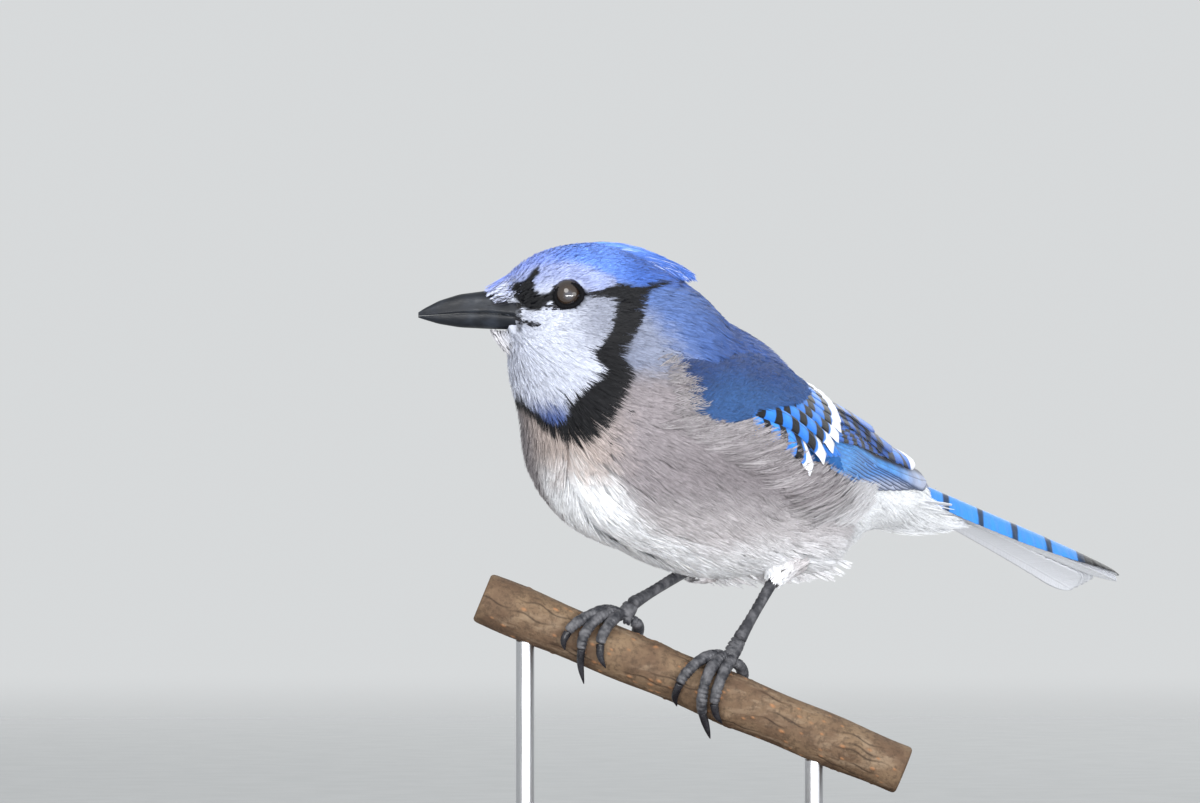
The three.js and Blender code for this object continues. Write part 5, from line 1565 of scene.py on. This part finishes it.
def perch_radius(along, angle):
    wave = 0.18 * np.sin(along * 0.21) + 0.14 * np.sin(along * 0.09 + 2 * angle)
    for at, turn, height in SCARS:
        around = arc(angle, math.radians(turn))
        wave = wave + height * np.exp(-((along - at) / 3) ** 2 - (around / 3.4) ** 2)
        wave = wave - 0.22 * np.exp(-((np.hypot(along - at, around) - 2.6) / 0.5) ** 2)
    return PERCH_RADIUS + wave


def make_perch():
    sides, cap_rings = 180, 16
    along = np.linspace(PERCH_FROM, PERCH_TO, 330)[:, None]
    angle = turns(sides)[None, :]
    radius = perch_radius(along, angle)
    spots = RNG.uniform([PERCH_FROM + 2, 0, 0.35, 0.5], [PERCH_TO - 2, 2 * np.pi, 0.62, 1.0], (210, 4))
    marks = np.zeros(radius.shape)
    for at, turn, size, tall in spots:
        shape = ((along - at) / (size * 1.25)) ** 2 + (arc(angle, turn) / (size * 0.7)) ** 2
        shape = np.exp(-shape ** 2)
        marks = np.maximum(marks, shape * tall)
    crack = np.zeros(radius.shape)
    for at, turn, long in RNG.uniform([PERCH_FROM, 0, 3], [PERCH_TO, 2 * np.pi, 9], (46, 3)):
        around = arc(angle, turn + 0.06 * np.sin((along - at) * 0.7))
        crack = np.maximum(crack, np.exp(-(around / 0.22) ** 2 - ((along - at) / long) ** 4))
    radius = radius + 0.22 * marks - 0.12 * crack + RNG.normal(0, 0.012, radius.shape)
    edge = np.minimum(along - PERCH_FROM, PERCH_TO - along)
    radius = radius - 0.7 * np.exp(-edge / 0.35)
    rings = with_caps(round_perch(along, angle, radius), np.linspace(0.96, 0.03, cap_rings),
                      PERCH.place([(PERCH_FROM, 0, 0), (PERCH_TO, 0, 0)]))
    mesh = closed_piece("perch", rings, BARK)
    grid = np.zeros((*rings.shape[:2], 3))
    grid[cap_rings:-cap_rings, :, 0] = marks
    grid[cap_rings:-cap_rings, :, 1] = crack
    grid[:cap_rings, :, 2] = 1
    grid[-cap_rings:, :, 2] = 1
    add_colours(mesh, "Bark", np.vstack([grid.reshape(-1, 3), [(0, 0, 1), (0, 0, 1)]]))


def with_caps(rings, shares, middles):
    """Rings with smaller ones added over both ends, towards the ends' middles."""
    first, last = (np.stack([middle + (rings[row] - middle) * share for share in shares])
                   for row, middle in zip((0, -1), middles))
    return np.concatenate([first[::-1], rings, last])


def make_stand():
    """A flat board with rounded corners and bevelled edges, and two rods up to the perch."""
    half_long, half_wide, high = BASE_SIZE
    bottom = [(BASE_BEVEL - BASE_BEVEL * math.sin(a), BASE_BEVEL - BASE_BEVEL * math.cos(a))
              for a in np.linspace(np.pi / 2, 0, 7)]
    top = [(high - level, inset) for level, inset in bottom[::-1]]
    rings = []
    for level, inset in bottom + top:
        ring = []
        for k in range(4):
            x = (half_long - BASE_CORNER) * (1 if k in (0, 3) else -1)
            y = (half_wide - BASE_CORNER) * (1 if k in (0, 1) else -1)
            for a in np.linspace(0, np.pi / 2, 24) + k * np.pi / 2:
                radius = BASE_CORNER - inset
                ring.append((x + radius * math.cos(a), y + radius * math.sin(a), level))
        rings.append(ring)
    rings = np.array(rings)
    middles = [np.array([0, 0, rings[row][0, 2]]) for row in (0, -1)]
    closed_piece("stand_base", with_caps(rings, np.linspace(0.97, 0.1, 8), middles), WOOD)

    slope = math.radians(PERCH_SLOPE)
    angle = turns(48)
    circle = np.stack([np.cos(angle), np.sin(angle), 0 * angle], -1)
    for index, x in enumerate(ROD_PLACES):
        top = PERCH_HEIGHT - x * math.tan(slope) - PERCH_RADIUS / math.cos(slope)
        levels = [high, high, high + 0.4, top - 0.2, top + 0.6]
        radii = [ROD_RADIUS - 0.4] + [ROD_RADIUS] * 4
        rings = np.array([circle * radius + (x, 0, level) for level, radius in zip(levels, radii)])
        closed_piece(f"stand_rod_{index + 1}", rings, METAL)


# Materials of eyes, lids, horn, bark, wood and metal
def eye_material():
    graph = Graph("eye_dark")
    return graph.finish(Base_Color=graph.attribute("IrisAndPaintedReflection"), Roughness=0.05, Coat_Weight=0.6,
                        Coat_Roughness=0.03)


def lid_material():
    graph = Graph("lid_skin")
    grain = graph.noise(graph.place(), 1500.0, 2.0)
    return graph.finish(Base_Color=linear(0x060609), Roughness=0.75, Specular_IOR_Level=0.12,
                        Normal=graph.bump(grain, 0.4, 0.15))


def horn_material(name, dark, pale, roughness, scale):
    """Bill, scales and claws: dark horn with fine grain and a soft shine."""
    graph = Graph(name)
    place = graph.place()
    cloud = graph.noise(place, scale, 4.0)
    grain = graph.noise(graph.scaled(place, 0.35, 1.0, 1.0), scale * 9, 3.0)
    colour = graph.mix(graph.step(cloud, 0.35, 0.7), dark, pale)
    rough = graph.step(grain, 0.3, 0.7, roughness - 0.07, roughness + 0.1)
    return graph.finish(Base_Color=colour, Roughness=rough, Normal=graph.bump(grain, 0.35, 0.15),
                        Specular_IOR_Level=0.32)


def bark_material():
    graph = Graph("bark")
    place = graph.place()
    data = graph.split(graph.attribute("Bark"))
    large = graph.noise(place, 90.0, 5.0, 0.6)
    fine = graph.noise(place, 700.0, 5.0, 0.7)
    strips = graph.noise(graph.scaled(place, 0.12, 1.0, 0.35), 420.0, 4.0, 0.65)
    colour = graph.mix(graph.step(large, 0.35, 0.68), linear(0x5B4839), linear(0x78644F))
    for share, shade in (
            (graph.step(strips, 0.5, 0.72, 0.0, 0.7), 0x8E7C68),
            (graph.step(fine, 0.55, 0.36, 0.0, 0.5), 0x3A2F26),
            (graph.times(data["Red"], 0.85), 0x9A6E4C),
            (graph.times(data["Green"], 0.8), 0x231A14)):
        colour = graph.mix(share, colour, linear(shade))
    rings = graph.step(graph.noise(place, 900.0, 3.0), 0.35, 0.65)
    colour = graph.mix(data["Blue"], colour, graph.mix(rings, linear(0xB79468), linear(0xD3B58A)))
    height = graph.plus(graph.times(fine, 0.6), strips)
    return graph.finish(Base_Color=colour, Roughness=0.82, Normal=graph.bump(height, 0.7, 0.5),
                        Specular_IOR_Level=0.25)


def wood_material():
    graph = Graph("stand_wood")
    place = graph.place()
    grain = graph.noise(graph.scaled(place, 1.2, 16.0, 16.0), 18.0, 6.0, 0.62)
    pores = graph.noise(graph.scaled(place, 3.0, 60.0, 60.0), 40.0, 2.0)
    colour = graph.mix(graph.step(grain, 0.35, 0.68), linear(0x3A261A), linear(0x6B4A33))
    colour = graph.mix(graph.step(pores, 0.62, 0.74, 0.0, 0.5), colour, linear(0x24170F))
    return graph.finish(Base_Color=colour, Roughness=graph.step(grain, 0.3, 0.7, 0.34, 0.46),
                        Normal=graph.bump(pores, 0.2, 0.1))


def metal_material():
    graph = Graph("stand_metal")
    brushed = graph.noise(graph.scaled(graph.place(), 1.0, 1.0, 0.03), 2600.0, 2.0)
    return graph.finish(Base_Color=(0.55, 0.56, 0.58), Metallic=1.0,
                        Roughness=graph.step(brushed, 0.3, 0.7, 0.26, 0.42))


COAT_LOOK = coat_material("coat_feathers")
SKIN = skin_material()
FLIGHT = vane_material("vane_flight", PRIMARY_BLUE, PRIMARY_DEEP, VANE_GREY, (5.5, 1.2, 9.0), UNDER_GREY,
                       pale_end=13.0)
TILES = vane_material("vane_tiles", TILE, TILE_DEEP, AZURE_DEEP, (6.4, 3.1, 9.0), UNDER_GREY, shift=0.8)
GREATER = vane_material("vane_greater", AZURE, TILE, TILE_DEEP, (5.7, 2.5, 6.1), UNDER_GREY)
TAIL_MIDDLE = vane_material("vane_tail_middle", TAIL_BLUE, TAIL_DEEP, TAIL_DEEP, (14.2, 2.6, 24.8),
                            linear(0xE4E6EC), dark_tip=24.0)
TAIL_OUTER = vane_material("vane_tail_outer", TAIL_BLUE, TAIL_DEEP, TAIL_WEB, (13.0, 2.6, 27.0),
                           linear(0xF4F5F9))
TAIL_COVERT = vane_material("vane_tail_covert", TAIL_BLUE, VIOLET, TAIL_BLUE, (9.0, 1.6, 9.0))
UNDER_COVERT = vane_material("vane_under_covert", WHITE_VANE, WHITE_VANE, WHITE_VANE, streak=0.05)
EYE = eye_material()
LID = lid_material()
BILL = horn_material("bill_horn", linear(0x14171D), linear(0x282D36), 0.4, 160.0)
LEG = horn_material("leg_horn", linear(0x2E2F34), linear(0x5C5C60), 0.46, 500.0)
CLAW = horn_material("claw_horn", linear(0x17171B), linear(0x2E2E33), 0.28, 300.0)
BARK = bark_material()
WOOD = wood_material()
METAL = metal_material()

# The object
skin_points, skin_quads = make_skin()
coat = Coat()
body_feathers(coat, skin_points, skin_quads)
for wing_side in SIDES:
    make_wing(wing_side)
    lesser_coverts(coat, wing_side)
    flank_feathers(coat, wing_side)
    shoulder_feathers(coat, wing_side)
    make_eye(wing_side)
make_crest(coat)
nasal_plumes(coat)
chin_feathers(coat)
belly_fringe(coat)
vent_feathers(coat)
bill_edge_feathers(coat)
bristles(coat)
make_tail()
make_bill("bill_upper", CULMEN, 1)
make_bill("bill_lower", GONYS, -1)
for leg_name, leg_sizes in LEGS.items():
    make_leg(leg_name, leg_sizes, coat)
coat.build(COAT_SLOTS, COAT_LOOK)
make_perch()
make_stand()

# Stage: a pale floor that fades into an even background, soft lights and the camera. Lengths in metres
PALE = (0.80, 0.82, 0.83)
FLOOR_HALF = 4.0
VIEW_DISTANCE = 3.0
VIEW_WIDTH = 0.3158
SENSOR = 36.0


def make_floor():
    points = FLOOR_HALF / MM * np.array([(-1, -1, 0), (1, -1, 0), (1, 1, 0), (-1, 1, 0)])
    mesh = fill_mesh("floor", points, np.array([[0, 1, 2, 3]]), False)
    graph = Graph("floor_pale")
    grain = graph.noise(graph.place(), 60.0, 3.0)
    colour = graph.mix(graph.step(grain, 0.3, 0.7), (0.40, 0.41, 0.415), (0.425, 0.435, 0.44))
    graph.finish(Base_Color=colour, Roughness=0.8, Specular_IOR_Level=0.2)
    far = graph.node("VectorMath", {0: graph.place()}, operation="LENGTH").outputs["Value"]
    clear = graph.node("BsdfTransparent")
    both = graph.node("MixShader", {0: graph.step(far, 0.5, 2.2)})
    graph.links.new(graph.shader.outputs[0], both.inputs[1])
    graph.links.new(clear.outputs[0], both.inputs[2])
    graph.links.new(both.outputs[0], graph.nodes["Material Output"].inputs["Surface"])
    mesh.materials.append(graph.material)
    floor = bpy.data.objects.new("floor", mesh)
    bpy.context.scene.collection.objects.link(floor)


def add_light(name, place, aim, size, power, colour=(1, 1, 1), height=None):
    """A soft lamp that faces a place aim metres above the floor's middle."""
    light = bpy.data.lights.new(name, "AREA")
    light.shape = "RECTANGLE" if height else "DISK"
    light.size = size
    if height:
        light.size_y = height
    light.energy = power
    light.color = colour
    lamp = bpy.data.objects.new(name, light)
    lamp.location = place
    lamp.rotation_euler = (Vector((0, 0, aim)) - Vector(place)).to_track_quat("-Z", "Y").to_euler()
    bpy.context.scene.collection.objects.link(lamp)


make_floor()
add_light("key", (-0.6, -1.2, 1.3), 0.11, 1.1, 17.0, (1.0, 0.99, 0.97))
add_light("fill", (1.2, -1.1, 0.4), 0.11, 1.0, 7.0, (0.95, 0.97, 1.0))
add_light("under", (0.1, -1.0, 0.06), 0.12, 1.4, 14.0, height=0.1)
add_light("rim", (0.5, 1.2, 1.0), 0.11, 0.8, 7.0)

world = bpy.data.worlds.new("studio")
world.use_nodes = True
world.node_tree.nodes["Background"].inputs["Color"].default_value = (*PALE, 1)
world.node_tree.nodes["Background"].inputs["Strength"].default_value = 0.85
scene = bpy.context.scene
scene.world = world

camera = bpy.data.cameras.new("photo_camera")
camera.sensor_width = SENSOR
camera.lens = SENSOR * VIEW_DISTANCE / VIEW_WIDTH
camera.clip_end = 20.0
viewer = bpy.data.objects.new("photo_camera", camera)
viewer.location = (-0.0263, -VIEW_DISTANCE, 0.1231)
viewer.rotation_euler = (math.pi / 2, 0, 0)
scene.collection.objects.link(viewer)
scene.camera = viewer
scene.view_settings.view_transform = "Standard"
